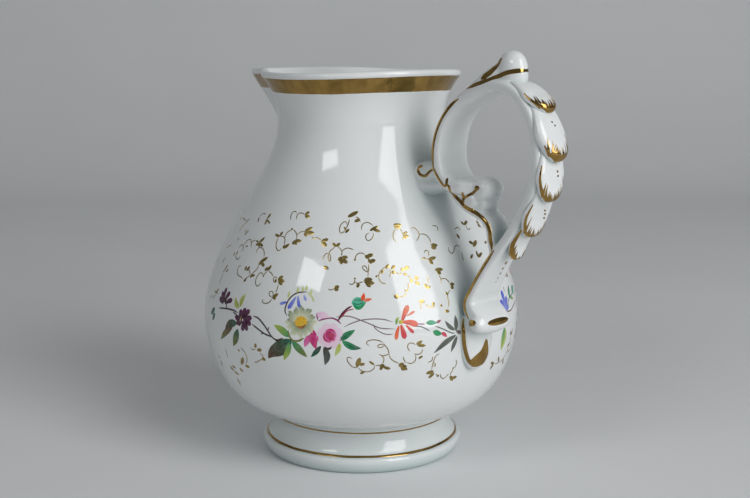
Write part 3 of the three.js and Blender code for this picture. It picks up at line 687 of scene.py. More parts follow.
# %% Pad on the neck and tongue on the belly
PAD_WIDTH, PAD_HEIGHT, PAD_FLARE_WIDTH, PAD_FLARE_HEIGHT = 11.5 * MM, 8 * MM, 16 * MM, 12 * MM
TONGUE_RISE, TONGUE_LENGTH, TONGUE_SINK = 1.8 * MM, 21 * MM, 1.2 * MM
TONGUE_WIDTH, TONGUE_SHOULDER, TONGUE_CURL = 16 * MM, 12.8 * MM, 2 * MM


def neck_pad(start, drop, start_height):
    """The pad that spreads on the neck, from a place on the handle's line."""
    root = np.array([neck_joint[0] - LOOP_RADIUS_AT_NECK - WALL / 2, neck_joint[1] - drop])
    turns = 2 * np.pi * np.arange(STRAP_SIDES) / STRAP_SIDES
    rings = []
    for share in np.linspace(0, 1, 24):
        width = PAD_WIDTH + (PAD_FLARE_WIDTH - PAD_WIDTH) * share ** 2
        height = start_height + (PAD_FLARE_HEIGHT - start_height) * share ** 2
        middle = start + (root - start) * share
        places = [(width / 2 * math.sin(turn), height / 2 * math.cos(turn)) for turn in turns]
        rings.append([in_handle(middle, aside, (0, 1), off) for aside, off in places])
    return joined_rings(rings)


def tongue_half_width(share):
    """Half the tongue's width at a share of its length, from its top to its rounded tip."""
    half, shoulder = TONGUE_WIDTH / 2, TONGUE_SHOULDER / 2
    side = bezier((0, shoulder), (0.5, half + TONGUE_CURL), (1, half - TONGUE_CURL), (1, 0), 60)
    return float(np.interp(share, side[:, 0], side[:, 1]))


def tail_tongue():
    rings = []
    for share in 1 - (1 - np.linspace(0, 1, 40)) ** 1.6:
        height = roll_height + TONGUE_RISE - TONGUE_LENGTH * share
        half = max(tongue_half_width(share), 0.05 * MM)
        across = np.linspace(-1, 1, 25)
        tip = math.sqrt(max(1 - max(share - 0.8, 0) ** 2 / 0.04, 0.02))
        lifts = LUTE + TONGUE_THICKNESS * tip * np.maximum(1 - across ** 4, 0.02) ** 0.5
        upper = [(half * side, lift) for side, lift in zip(across, lifts)]
        lower = [(half * side, -TONGUE_SINK) for side in reversed(across)]
        ring = []
        for aside, lift in upper + lower:
            radius, level_here = on_skin(height, lift)
            ring.append((AXIS_X + math.sqrt(radius ** 2 - aside ** 2), aside, level_here))
        rings.append(ring)
    return joined_rings(rings)


print("the tongue is %.0f mm long and %.0f mm wide" % (TONGUE_LENGTH / MM, TONGUE_WIDTH / MM))

# %% Melt the handle together
VOXEL = 0.42 * MM
MELT_ROUNDS, MELT_SHARE = 14, 0.5
TAIL_ROOT_WIDTH, TAIL_SPREAD, TAIL_THICKNESS = 9.5, 5.5, 3.6 * MM
BUD_LENGTH, BUD_RADIUS, BUD_END = 11 * MM, 4.8 * MM, 2 * MM
ROLL_LENGTH, ROLL_END = 18.4 * MM, 1.5 * MM


def melted(name, solids):
    """One smooth skin from overlapping closed skins."""
    points, faces = [], []
    for solid_points, solid_faces in solids:
        faces += [tuple(corner + len(points) for corner in face) for face in solid_faces]
        points += [tuple(point) for point in solid_points]
    lump = bpy.data.objects.new(name, skin_mesh(name, points, faces))
    bpy.context.scene.collection.objects.link(lump)
    remesh = lump.modifiers.new("melt", "REMESH")
    remesh.mode = "VOXEL"
    remesh.voxel_size = VOXEL
    flow = lump.modifiers.new("flow", "SMOOTH")
    flow.factor = MELT_SHARE
    flow.iterations = MELT_ROUNDS
    bpy.context.view_layer.update()
    solid = lump.evaluated_get(bpy.context.evaluated_depsgraph_get())
    mesh = bpy.data.meshes.new_from_object(solid)
    bpy.data.objects.remove(lump)
    mesh.name = name
    mesh.materials.clear()
    mesh.shade_smooth()
    return mesh


def tail_width(distance):
    return (TAIL_ROOT_WIDTH + TAIL_SPREAD * smooth_step(distance, 0, 0.7 * tail_line.length)) * MM


def beside(point, reach, rise):
    """A place beside a point of the handle's plane, in millimetres out and up."""
    return point + np.array([reach, rise]) * MM


tail_points = [handle_line.at(handle_line.length - place * MM) for place in (24, 18, 13, 9)]
tail_line = Line([*tail_points, beside(roll, -4.4, 3), beside(roll, -4.6, -2)])
handle_solids = [
    strap(handle_line, 0, handle_line.length, strap_width, strap_thickness),
    strap(tail_line, 0, tail_line.length, tail_width, lambda distance: TAIL_THICKNESS),
    strap(lower_line, 0, lower_line.length, lower_width, lower_thickness),
    strap(lower_line, 2 * MM, WEB_END, web_width, web_thickness, web_shift),
    barrel(volute, BUD_LENGTH, BUD_RADIUS, BUD_END),
    barrel(beside(volute, -0.7, -4.9), 9 * MM, 3.7 * MM, 2 * MM),
    barrel(beside(volute, -3.6, -4.2), 12.4 * MM, 2.6 * MM, 2.2 * MM),
    barrel(roll, ROLL_LENGTH, ROLL_RADIUS, ROLL_END),
    crest(), dome(), tail_tongue(),
    neck_pad(neck_joint, 3 * MM, PAD_HEIGHT),
    neck_pad(handle_line.at(neck_at - 7 * MM), 6.8 * MM, 4 * MM),
]
HANDLE_NODES = [
    "upper_scroll", "back_strap", "lower_scroll", "scroll_volute", "tail_roll", "thumb_knop", "neck_pad",
    "tail_tongue",
]
handle = add_piece(melted("scroll_handle", handle_solids), porcelain, HANDLE_NODES)

# %% [markdown]
# ## Leaves
#
# Five leaves overlap down the back of the handle. On the real jug they are part of the handle's mould. Here each is
# a crowned bar along the handle's line that swells from its root and lifts off the next leaf at its tip, so that the
# leaves stay separate pieces and throw their small shadows on each other.

# %% Leaf shapes
# root and tip along the line from the knop, width and rise, in millimetres
LEAVES = {
    "back_leaf_1": (0.6, 15.6, 12.6, 3),
    "back_leaf_2": (11.6, 30.4, 13.8, 4),
    "back_leaf_3": (25.6, 42.6, 13.2, 3.2),
    "back_leaf_4": (38.6, 57, 12.4, 3.2),
    "back_leaf_5": (52.6, 67.8, 8.8, 2.8),
}
LEAF_LIFT, LEAF_LIFT_START, LEAF_SINK = 1.8 * MM, 0.55, 0.25 * MM
LEAF_BROADEST, LEAF_THICKEST, LEAF_TIP_START, LEAF_FALL = 0.5, 0.7, 0.82, 0.9
LEAF_ROOT_WIDTH, LEAF_ROOT_RISE = 0.7, 0.35
LEAF_TRIM = 0.97
LEAF_STEPS, LEAF_SIDES = 72, 28


def arc_fall(argument):
    return math.sqrt(1 - LEAF_FALL * min(max(argument, 0), 1) ** 2)


def leaf_breadth(share):
    if share < LEAF_BROADEST:
        return LEAF_ROOT_WIDTH + (1 - LEAF_ROOT_WIDTH) * share / LEAF_BROADEST
    return arc_fall((share - LEAF_BROADEST) / (1 - LEAF_BROADEST))


def leaf_swell(share):
    growing = LEAF_ROOT_RISE + (1 - LEAF_ROOT_RISE) * min(share / LEAF_THICKEST, 1)
    return growing * arc_fall((share - LEAF_TIP_START) / (1 - LEAF_TIP_START))


def leaf_sections(root, tip, width, rise):
    for share in np.linspace(0, 1, LEAF_STEPS + 1):
        distance = knop_at + (root + (tip - root) * share) * MM
        lift = LEAF_LIFT * smooth_step(share, LEAF_LIFT_START, 1)
        outward = handle_line.outward(distance)
        middle = handle_line.at(distance) + outward * (BACK_THICKNESS / 2 + lift - LEAF_SINK)
        height = (rise * MM * leaf_swell(share) + LEAF_SINK) * LEAF_TRIM
        yield middle, outward, width * MM / 2 * leaf_breadth(share), height


leaves = []
for name, shape in LEAVES.items():
    points, faces = crowned(list(leaf_sections(*shape)), sides=LEAF_SIDES)
    mesh = skin_mesh(name + "_glazed", points, faces)
    leaves.append(add_piece(mesh, porcelain, [name]))

# %% [markdown]
# ## Brush strokes
#
# All the painting on the jug is done with a pointed brush: a stroke swells and tapers along a line. Here a stroke is
# a thin closed shell laid on the surface under it, a few hundredths of a millimetre high, as enamel and gold really
# are. The same helper then paints stems, petals, leaves and gilding. A place that the photograph shows can be found
# by sending a ray from the camera through its pixel until it meets the surface.

# %% Surfaces to paint on
STROKE_LIFT, STROKE_SINK, LAYER_STEP = 0.05 * MM, 0.15 * MM, 0.02 * MM
THINNEST_SHARE, EDGE_FALL = 0.06, 0.5
PIXEL = 0.355 * MM
ACROSS, ACROSS_FINE = (-1, -0.6, 0, 0.6, 1), (-1, 0, 1)
FINE_WIDTH = 0.7 * MM


def surface_of(*pieces):
    points, faces = [], []
    for piece in pieces:
        first = len(points)
        points += [vertex.co.copy() for vertex in piece.data.vertices]
        faces += [[first + corner for corner in polygon.vertices] for polygon in piece.data.polygons]
    return BVHTree.FromPolygons(points, faces)


body_surface = surface_of(body)
handle_surface = surface_of(handle, *leaves)


def seen_at(surface, x, y):
    """The place on a surface that the photograph shows at a pixel, or None where it misses."""
    aside = camera_right * ((x - IMAGE_WIDTH / 2) / FOCAL_PIXELS)
    way = camera_forward + aside - camera_up * ((y - IMAGE_HEIGHT / 2) / FOCAL_PIXELS)
    return surface.ray_cast(camera_place, way.normalized())[0]


def seen_line(surface, pixels):
    places = [seen_at(surface, x, y) for x, y in pixels]
    return [np.array(place) for place in places if place is not None]


print("a pixel is about %.2f mm on the belly" % (PIXEL / MM))

# %% Forms of a stroke and its shell
def leaf_form(share):
    return np.sin(np.pi * share ** 0.85) ** 0.8


def petal_form(share):
    return (0.25 + 0.75 * share ** 0.8) * np.sqrt(np.maximum(1 - share ** 5, 0))


def line_form(share):
    return np.minimum(1, 0.3 + 5 * np.minimum(share, 1 - share))


def spike_form(share):
    return (1 - share) ** 0.8


def even_points(points, step):
    """Points about a step apart along a smooth line."""
    line = flowing([np.array(point, float) for point in points], 10)
    lengths = np.concatenate([[0], np.cumsum(np.linalg.norm(np.diff(line, axis=0), axis=1))])
    places = np.linspace(0, lengths[-1], max(int(lengths[-1] / step), 5) + 1)
    return np.stack([np.interp(places, lengths, line[:, axis]) for axis in range(3)], axis=1)


class Painting:
    """Strokes gathered on one surface, with a colour at each point."""

    def __init__(self, surface):
        self.surface, self.points, self.faces, self.colours = surface, [], [], []

    def stroke(self, points, width, form, layer=0, colours=None, step=0.6 * MM):
        line = even_points(points, step)
        shares = np.linspace(0, 1, len(line))
        halves = np.maximum(form(shares), THINNEST_SHARE) * width / 2
        lift = STROKE_LIFT + layer * LAYER_STEP
        across = ACROSS_FINE if width < FINE_WIDTH else ACROSS
        rings = []
        for point, way, half in zip(line, np.gradient(line, axis=0), halves):
            spot, normal = self.surface.find_nearest(Vector(point))[:2]
            side = normal.cross(Vector(way)).normalized() * half
            laid = [self.surface.find_nearest(spot + side * aside)[:2] for aside in across]
            upper = [place + up * lift * (1 - EDGE_FALL * aside ** 4) for aside, (place, up) in zip(across, laid)]
            rings.append(upper + [place - up * STROKE_SINK for place, up in reversed(laid)])
        ring_points, ring_faces = joined_rings(rings)
        first = len(self.points)
        self.points += ring_points
        self.faces += [tuple(first + corner for corner in reversed(face)) for face in ring_faces]
        if colours:
            start, end = (np.array(colour) for colour in colours)
            for share in shares:
                self.colours += [tuple(start + (end - start) * share)] * len(rings[0])

    def tell(self, what):
        print(what, "laid, and the painting has", len(self.faces), "faces")

    def finished(self, name, finish):
        mesh = skin_mesh(name, self.points, self.faces)
        if self.colours:
            paint = mesh.color_attributes.new("paint", "FLOAT_COLOR", "POINT")
            paint.data.foreach_set("color", np.array(self.colours, dtype=np.float32).ravel())
        add_piece(mesh, finish)


print("a stroke is %.2f mm high, and each layer over it %.2f mm more" % (STROKE_LIFT / MM, LAYER_STEP / MM))

# %% [markdown]
# ## Gilding on the handle
#
# The gilder runs a loaded brush along each edge of the scrolls, curls it at the ends, and feathers the tips of the
# leaves with short strokes that start wet at the tip. The edges follow the handle's line, so those strokes are
# measured along it. The curls are small and free, so they are placed by pixels. The far side is the mirror image.

# %% Edge lines
EDGE_STEP, GILDING_STEP = 2.5 * MM, 0.5 * MM
gilding = Painting(handle_surface)


def mirrored(points):
    return [np.array((point[0], -point[1], point[2])) for point in points]


def gild(points, width, form=line_form, layer=0, both_sides=True):
    if len(points) < 2:
        return
    for side in (points, mirrored(points)) if both_sides else (points,):
        gilding.stroke(side, width, form, layer, step=GILDING_STEP)


def edge_line(line, start, end, width, thickness, corner, inset=0.94):
    """A line along the near edge of a strap: corner is 1 on its outward side and -1 on its inward side."""
    points = []
    for place in np.linspace(start, end, int(abs(end - start) / EDGE_STEP) + 2):
        aside, off = -width(place) / 2 * inset, thickness(place) / 2 * corner
        points.append(np.array(in_handle(line.at(place), aside, line.outward(place), off)))
    return points


gild(edge_line(handle_line, neck_at + 1 * MM, knop_at - 21 * MM, strap_width, strap_thickness, 0.35, 1.0), 1.5 * MM)
gild(edge_line(lower_line, 9 * MM, lower_line.length - 2 * MM, lower_width, lower_thickness, 0.5, 0.98), 1.6 * MM)
tail_end = handle_line.length - 3.4 * MM
gild(edge_line(handle_line, waist_at + 10 * MM, tail_end, strap_width, strap_thickness, -0.35, 1.0), 1.5 * MM)
gilding.tell("edge lines")

# %% Curls, eyes and dots
# widths in millimetres and pixels along each line
CURLS = {
    "neck curl": (1.1, [(432, 165), (430, 171), (426, 175.5), (421.5, 175.5), (418.5, 172), (418.5, 168),
     (421, 166)]),
    "root of the lower scroll": (1.2, [(432.5, 166), (436, 174), (440, 181), (444.5, 187)]),
    "first spike": (1.2, [(444, 187), (446.5, 184), (447.5, 178)]),
    "below the spike": (1.3, [(446.5, 184), (449, 187), (453, 194), (459, 200), (464, 204.5)]),
    "second spike": (1.2, [(464, 203), (463.5, 198), (462.5, 192)]),
    "bud curl": (1.1, [(464, 199), (468, 195.5), (473, 193), (476, 190), (477, 187.5)]),
    "knop flank": (2.4, [(481, 79), (490, 72), (498, 64), (502, 58)]),
    "knop hem": (1.6, [(466, 89), (476, 84.5), (487, 80.5), (498, 76.5), (506, 73), (516, 71), (528, 70.5)]),
    "tongue rim": (1.5, [(463.5, 318), (463.5, 335), (465, 349), (469, 361), (475, 366.5)]),
}
for width, pixels in CURLS.values():
    gild(seen_line(handle_surface, pixels), width * MM)


def round_form(share):
    return np.sqrt(np.maximum(1 - (2 * share - 1) ** 2, 0))


EYES = {"neck eye": (420.4, 166.4, 5), "bud eye": (477, 188, 5), "roll eye": (472.5, 323, 7)}
for x, y, size in EYES.values():
    spot = seen_line(handle_surface, [(x - size / 2, y), (x, y), (x + size / 2, y)])
    gild(spot, size * PIXEL, round_form, layer=2)

DOTS = [(552, 122), (555, 125.5), (557.5, 171.5), (558, 176), (545, 210.5), (545, 214), (544, 218)]
DASHES = [(506, 263, 2.4), (503, 268.5, 2), (500.4, 273.5, 1.6), (498, 278, 1.3), (496, 282, 1)]
for x, y in DOTS:
    gild(seen_line(handle_surface, [(x - 0.8, y - 0.5), (x, y), (x + 0.8, y + 0.5)]), 0.7 * MM, both_sides=False)
for x, y, size in DASHES:
    dash = seen_line(handle_surface, [(x + size * 0.4, y - size * 0.6), (x, y), (x - size * 0.4, y + size * 0.6)])
    gild(dash, size * 0.42 * MM, both_sides=False)
gilding.tell("curls, eyes and dots")

# %% Roll band and tongue tip
roll_front = [(AXIS_X + roll[0] + 4 * MM, aside * MM, roll[1] + 0.8 * MM) for aside in (-5.4, -2, 2, 6.4)]
gilding.stroke(roll_front, 2.7 * MM, round_form)
TIP_INNER = [(467, 362), (475, 358), (482, 351), (486, 338)]
TIP_OUTER = [(471, 366), (479, 365), (486, 358), (487.5, 340)]
for share in (0.05, 0.35, 0.65, 0.95):
    pixels = [(a + (c - a) * share, b + (d - b) * share) for (a, b), (c, d) in zip(TIP_INNER, TIP_OUTER)]
    gild(seen_line(handle_surface, pixels), 2.1 * MM, leaf_form, layer=1, both_sides=False)
gilding.tell("roll band and tongue tip")

# %% Feathered leaf tips
FEATHERS = 17
HEM_REACH = {"back_leaf_1": 0.5, "back_leaf_2": 0.72, "back_leaf_3": 0.34, "back_leaf_4": 0.3, "back_leaf_5": 0.16}
HEM_WIDTH = {"back_leaf_5": 2.6}
draw = random.Random(21)


def on_leaf(shape, share, across):
    """A place on a leaf: share runs from root to tip, across from -1 to 1."""
    sections = list(leaf_sections(*shape))
    middle, outward, half_width, height = sections[round(np.clip(share, 0, 1) * LEAF_STEPS)]
    crown = height * max(1 - across ** 2, 0) ** 0.3
    return np.array(in_handle(middle, half_width * across, outward, crown))


def hem_share(across):
    """How far along the leaf its rounded hem lies, at a place across it."""
    return 1 - 0.17 * abs(across) ** 2.2


for name, shape in LEAVES.items():
    hem = [on_leaf(shape, hem_share(across), across) for across in np.linspace(-0.95, 0.95, 13)]
    gilding.stroke(hem, 2.1 * MM, line_form, layer=1)
    for side in (-1, 1):
        edge = [on_leaf(shape, share, 0.95 * side) for share in np.linspace(HEM_REACH[name], 0.9, 8)]
        gilding.stroke(edge, HEM_WIDTH.get(name, 1.5) * MM, lambda share: 0.25 + 0.75 * share, layer=1)
    for across in np.linspace(-0.95, 0.95, FEATHERS):
        start = hem_share(across)
        reach = draw.uniform(0.1, 0.24) + 0.12 * across ** 4
        feather = [on_leaf(shape, start - reach * part, across * (1 - 0.3 * part)) for part in (0, 0.5, 1)]
        gilding.stroke(feather, draw.uniform(0.9, 1.4) * MM, spike_form)
gilding.finished("handle_gold", gold)

# %% [markdown]
# ## Enamel garland
#
# A garland of garden flowers runs round the belly: a daisy and a rose in the middle, with buds, sprays and leaves to
# both sides. Such garlands are an old pattern of the porcelain painters, and each painter made them up afresh from
# the same few strokes. So they are made here too: a stroke is laid along a short line of pixels read off the
# photograph, in one of the enamels of the palette, and it shades from its first enamel to its last.

# %% Enamel finish and palette
PALETTE = {
    "plum": (50, 10, 32), "wine": (90, 20, 50), "sea green": (8, 92, 66), "green": (13, 142, 84),
    "pale green": (192, 202, 126), "yellow green": (170, 184, 58), "olive": (112, 112, 22),
    "brown": (84, 46, 8), "stem": (58, 38, 44),
    "purple": (90, 14, 76), "blue": (66, 84, 205), "pale blue": (142, 156, 222), "daisy grey": (124, 138, 108),
    "daisy white": (216, 220, 190), "yellow": (222, 178, 24), "ochre": (190, 122, 10), "pale pink": (230, 214, 226),
    "blush": (230, 182, 213), "pink": (222, 118, 180), "magenta": (192, 30, 112), "crimson": (160, 8, 56),
    "lilac": (140, 48, 108),
    "black": (32, 34, 28), "teal": (70, 176, 142), "orange": (226, 78, 34), "pale orange": (228, 122, 88),
    "grey": (90, 95, 88), "mauve": (120, 98, 100), "red": (198, 52, 78),
}


ENAMEL_WASH, ENAMEL_GLOSS = (0.7, 0.7, 0.69, 1), 0.3
WASH_SCALE, ENAMEL_GRAIN = 500, 300


def enamel_colour(name):
    """A palette colour in the linear scale that shaders work in."""
    shares = np.array(PALETTE[name]) / 255
    return (*np.where(shares > 0.04045, ((shares + 0.055) / 1.055) ** 2.4, shares / 12.92), 1.0)


def make_enamel():
    finish, shader = blank_finish("painted_enamel")
    paint = finish.node_tree.nodes.new("ShaderNodeVertexColor")
    paint.layer_name = "paint"
    thin = noise_between(finish, WASH_SCALE, 0.0, 0.1)
    link(finish, mixed_colour(finish, thin, paint.outputs["Color"], ENAMEL_WASH), shader.inputs["Base Color"])
    link(finish, noise_between(finish, ENAMEL_GRAIN, 0.1, 0.2), shader.inputs["Roughness"])
    shader.inputs["Specular IOR Level"].default_value = ENAMEL_GLOSS
    return finish


enamel = make_enamel()
garland = Painting(body_surface)
SEEN_ROUND = (-131, -33)
TURNED_ROUND = (-121, -24)
THIRD_TURN = -108


def turned_about_axis(points, degrees):
    spin = Matrix.Rotation(math.radians(degrees), 3, "Z")
    axis = Vector((AXIS_X, 0, 0))
    return [np.array(spin @ (Vector(point) - axis) + axis) for point in points]


def round_the_jug(points, last_turn=SEEN_ROUND[1]):
    """A line that the photograph shows, and its likely fellows on the two thirds of the jug that it hides."""
    middle = np.mean(points, axis=0)
    turn = math.degrees(math.atan2(middle[1], middle[0] - AXIS_X))
    lines = [points]
    if SEEN_ROUND[0] < turn < last_turn:
        lines.append(mirrored(points))
    if TURNED_ROUND[0] < turn < TURNED_ROUND[1]:
        lines.append(turned_about_axis(points, THIRD_TURN))
    return lines


def paint(pixels, width, form, first, last=None, layer=0):
    """A stroke of enamel along pixels of the photograph, with its width in pixels."""
    points = seen_line(body_surface, pixels)
    if len(points) < 2:
        return
    colours = (enamel_colour(first), enamel_colour(last or first))
    for line in round_the_jug(points):
        garland.stroke(line, width * PIXEL, form, layer, colours)


print("palette of", len(PALETTE), "enamels")

# %% Stems
for first, width, pixels in [
    ("stem", 1.8, [(219, 308), (226, 308.5), (234, 310.5), (238, 313)]),
    ("stem", 1.5, [(227, 308), (226, 303)]), ("stem", 1.5, [(233, 312), (237, 315)]),
    ("stem", 1.7, [(253, 316), (258, 318), (264, 325), (268, 331), (272, 337), (275, 339)]),
    ("stem", 1.7, [(252, 324), (258, 329), (265, 334), (272, 337), (275, 339)]),
    ("stem", 1.6, [(270, 334), (273, 338), (277, 340), (283, 338)]), ("stem", 1.4, [(275, 340), (279, 342)]),
    ("stem", 1.2, [(268, 330), (269, 327)]), ("stem", 1.2, [(264, 333), (261, 334)]),
    ("stem", 1.5, [(287, 316), (285, 311), (287, 303), (291, 297), (297, 293), (303, 292), (307, 292)]),
    ("pale green", 1.8, [(308, 292), (312, 297), (314, 302)]),
    ("olive", 2.0, [(288, 330), (289, 335), (292, 340), (298, 341), (304, 338)]),
    ("wine", 2.0, [(338, 321), (342, 314), (347, 309), (352, 306)]),
    ("crimson", 1.1, [(341, 318), (347, 311), (354, 309)]),
    ("mauve", 1.1, [(336, 317), (345, 316), (352, 317), (360, 320), (370, 324), (380, 328), (395, 329)]),
    ("mauve", 1.1, [(344, 327), (350, 324), (360, 320.5), (372, 319), (384, 319.5), (393, 322)]),
    ("mauve", 1.0, [(373, 324), (375, 328), (382, 333), (388, 334.5), (393, 334)]),
    ("lilac", 1.2, [(414, 323), (420, 324), (425, 324)]), ("grey", 1.2, [(414, 326), (422, 327), (430, 331)]),
    ("grey", 1.2, [(435, 326), (443, 329), (452, 333), (455, 333)]),
]:
    paint(pixels, width, line_form, first)
garland.tell("stems")

# %% Leaves
for first, last, width, pixels in [
    ("yellow green", "pale green", 6, [(239, 308), (236, 303), (236, 297)]),
    ("yellow green", "pale green", 6, [(240, 307), (242, 300), (246, 294)]),
    ("sea green", "brown", 9, [(237, 323), (230, 324), (225, 330)]),
    ("brown", "olive", 7, [(232, 328), (226, 332), (221, 339)]),
    ("sea green", "olive", 9, [(238, 329), (236, 337), (233.5, 346)]),
    ("sea green", "sea green", 6, [(215, 308), (211, 314)]),
    ("sea green", "sea green", 6, [(215, 313), (212.5, 320)]),
    ("pale green", "pale green", 2.8, [(288, 298), (290, 291)]),
    ("pale green", "pale green", 2.8, [(297, 293), (299, 287)]),
    ("pale green", "pale green", 2.6, [(303, 292), (303, 286)]),
    ("pale green", "pale green", 2.6, [(306, 291), (307, 285)]),
    ("pale green", "pale green", 2.6, [(311, 294), (312, 289)]),
    ("green", "yellow green", 7.5, [(290, 337), (281, 329.5), (274, 325)]),
    ("sea green", "brown", 15.5, [(291.5, 340), (282, 347), (272, 353), (268.5, 358)]),
    ("green", "yellow green", 7.5, [(290, 341), (287, 352), (284, 360)]),
    ("green", "olive", 7.5, [(292, 341), (299, 349), (307, 357)]),
    ("black", "sea green", 5, [(321, 346), (316, 352), (311, 357)]),
    ("black", "grey", 7, [(324, 347), (327, 356), (325, 365)]),
    ("black", "black", 3, [(324, 346), (328, 349), (333, 346)]),
    ("sea green", "green", 6.5, [(339, 341), (347, 335), (355, 330)]),
    ("green", "sea green", 6.5, [(342, 341), (352, 347), (361, 348.5)]),
    ("yellow green", "pale green", 5, [(340, 343), (338, 350), (335, 356)]),
    ("grey", "grey", 5, [(456, 331), (456, 323), (455, 315)]),
    ("grey", "grey", 4.5, [(455, 330), (450, 327), (445, 321)]),
    ("grey", "mauve", 4, [(456, 331), (459, 332), (462, 334)]),
    ("grey", "grey", 6, [(456, 335), (445, 343), (434, 353)]),
    ("grey", "grey", 5, [(457, 336), (454, 344), (451, 352)]),
]:
    paint(pixels, width, leaf_form, first, last)
for first, pixels in [
    ("olive", [(239, 307), (237, 303), (236, 299)]), ("olive", [(240, 306), (242, 301), (245, 296)]),
    ("black", [(288, 342), (281, 347), (273, 353)]), ("brown", [(283, 346), (284, 350)]),
    ("brown", [(279, 348), (280, 352)]),
    ("plum", [(234, 324), (229, 325)]), ("black", [(346, 343.5), (353, 347.5), (359, 348.5)]),
    ("black", [(342, 339), (347, 335.5), (352, 332)]), ("black", [(455, 335), (446, 342.5), (437, 350)]),
]:
    paint(pixels, 1.0, line_form, first, layer=1)
garland.tell("leaves")

# %% Purple flower, dark flower and blue spray
PETAL_START, PETAL_BEND = 0.12, 0.08


def fan(centre, tips, width, first, last, layer=0):
    """Petals from near a flower's centre to their tips, each bent a little to one side."""
    for x, y in tips:
        start = (centre[0] + (x - centre[0]) * PETAL_START, centre[1] + (y - centre[1]) * PETAL_START)
        across, down = x - start[0], y - start[1]
        bend = ((start[0] + x) / 2 + down * PETAL_BEND, (start[1] + y) / 2 - across * PETAL_BEND)
        paint([start, bend, (x, y)], width, petal_form, first, last, layer)


fan((224, 304), [(220, 297), (223, 291), (227, 287.5), (230.5, 292), (232.5, 300)], 7.5, "plum", "purple")
purple_tips = [
    (246, 308), (250, 310), (252, 318), (251, 325), (247, 331), (242, 331), (236, 323), (235, 316), (241, 309),
]
fan((242.5, 320), purple_tips, 7.6, "plum", "purple")
fan((242.5, 320), [(248, 316), (247, 326), (238, 325), (239, 314)], 5.5, "purple", "plum", 1)
paint([(242, 316), (240.5, 319), (240, 322)], 1.6, leaf_form, "ochre", "pale green", 2)
for first, last, width, pixels in [
    ("blue", "pale blue", 4.4, [(287, 302), (279.5, 304)]),
    ("pale blue", "blue", 6, [(296, 297), (292, 303), (288, 309)]),
    ("pale blue", "blue", 5, [(298, 296), (298.5, 302), (299.5, 308)]),
    ("pale blue", "pale blue", 4, [(304, 295), (306, 301)]),
]:
    paint(pixels, width, petal_form, first, last)
garland.tell("purple flower, dark flower and blue spray")

# %% Daisy
DAISY, DAISY_PETALS = (301, 322), 24
DAISY_HEART, DAISY_REACH, DAISY_TURNED = 5, 17, 0.96
for petal in range(DAISY_PETALS):
    way = 2 * math.pi * (petal + 0.3 * (petal % 2)) / DAISY_PETALS
    across, down = DAISY_TURNED * math.cos(way), -math.sin(way)
    reach = DAISY_REACH - 1.2 * (petal % 3)
    start, tip = [(DAISY[0] + far * across, DAISY[1] + far * down) for far in (DAISY_HEART, reach)]
    above = math.sin(way) > 0.1
    first, last = ("daisy white", "daisy grey") if above else ("daisy grey", "daisy white")
    paint([start, tip], 5.2, petal_form, first, last, petal % 2)
paint([(294.5, 322), (301, 322), (307.5, 322)], 13, round_form, "yellow", "yellow", 2)
paint([(297, 326), (302, 327.5), (306, 324)], 3.4, leaf_form, "ochre", "brown", 3)
for x, y in [(298, 319), (301, 317.6), (304, 319.5), (299.5, 322), (303, 322.5)]:
    paint([(x - 0.9, y), (x, y), (x + 0.9, y)], 1.5, round_form, "ochre", layer=3)
garland.tell("daisy")

# %% Rose
ROSE = (330, 336)


def round_the_rose(far, ways):
    return [(ROSE[0] + far * math.cos(way), ROSE[1] - far * math.sin(way)) for way in ways]


fan(ROSE, round_the_rose(13.5, np.arange(8) * math.pi / 4 + 0.2), 13.5, "blush", "pale pink")
fan(ROSE, round_the_rose(6.8, np.arange(7) * math.pi / 3.5), 7.5, "crimson", "pink", 1)
paint([(325.5, 336), (330, 336), (334.5, 336)], 8.6, round_form, "magenta", "crimson", 2)
for far, start, width, first in [
    (6.4, 0.4, 2.2, "magenta"), (6.2, 2.7, 2.2, "crimson"), (4, 1.2, 2.6, "crimson"), (3.6, 4.4, 2.6, "crimson"),
    (1.4, 2, 3, "crimson"),
]:
    arc = round_the_rose(far, [start + turn for turn in (0, 0.7, 1.4, 2.1)])
    paint(arc, width, leaf_form, first, "magenta", 3)
paint([(318, 321), (324, 319), (331, 318), (337, 320), (341, 324)], 1.6, line_form, "lilac", layer=2)
paint([(316, 314), (323, 315.5), (331, 318)], 7, leaf_form, "blush", "pale pink", 1)
paint([(317, 313), (317, 316), (318, 320)], 1.4, line_form, "lilac", layer=2)
paint([(313.5, 330), (313.5, 340), (316, 349)], 8.5, leaf_form, "magenta", "magenta", 1)
paint([(311, 335), (307.5, 340), (304.5, 347)], 6.5, leaf_form, "magenta", "pink")
paint([(316, 335), (318, 341)], 3.5, leaf_form, "pink", "magenta", 2)
garland.tell("rose")

# %% Bud, orange flower and two small buds
for first, last, width, pixels in [
    ("teal", "teal", 11, [(351.5, 303), (358.5, 302.5), (365.5, 302)]),
    ("green", "green", 4.2, [(353, 304), (358, 308), (364, 304), (366, 302)]),
    ("orange", "orange", 4.2, [(361, 302), (363, 298), (364, 293)]),
    ("pale orange", "orange", 3.4, [(363, 301), (367, 300), (372, 299)]),
    ("yellow green", "green", 3, [(399, 317), (397, 320), (396, 325)]),
    ("green", "teal", 5, [(426, 323), (431, 322.5), (437, 323)]), ("mauve", "crimson", 3, [(436, 323), (441, 320)]),
    ("green", "green", 6, [(433, 331), (437, 333), (442, 334)]),
    ("red", "red", 4.2, [(441, 333), (444, 334), (447, 337)]),
]:
    paint(pixels, width, leaf_form, first, last)
for pixels in ([(353, 303), (358, 304.6), (364, 302)], [(354, 300.6), (359, 300), (363, 301)]):
    paint(pixels, 1.3, line_form, "sea green", layer=1)
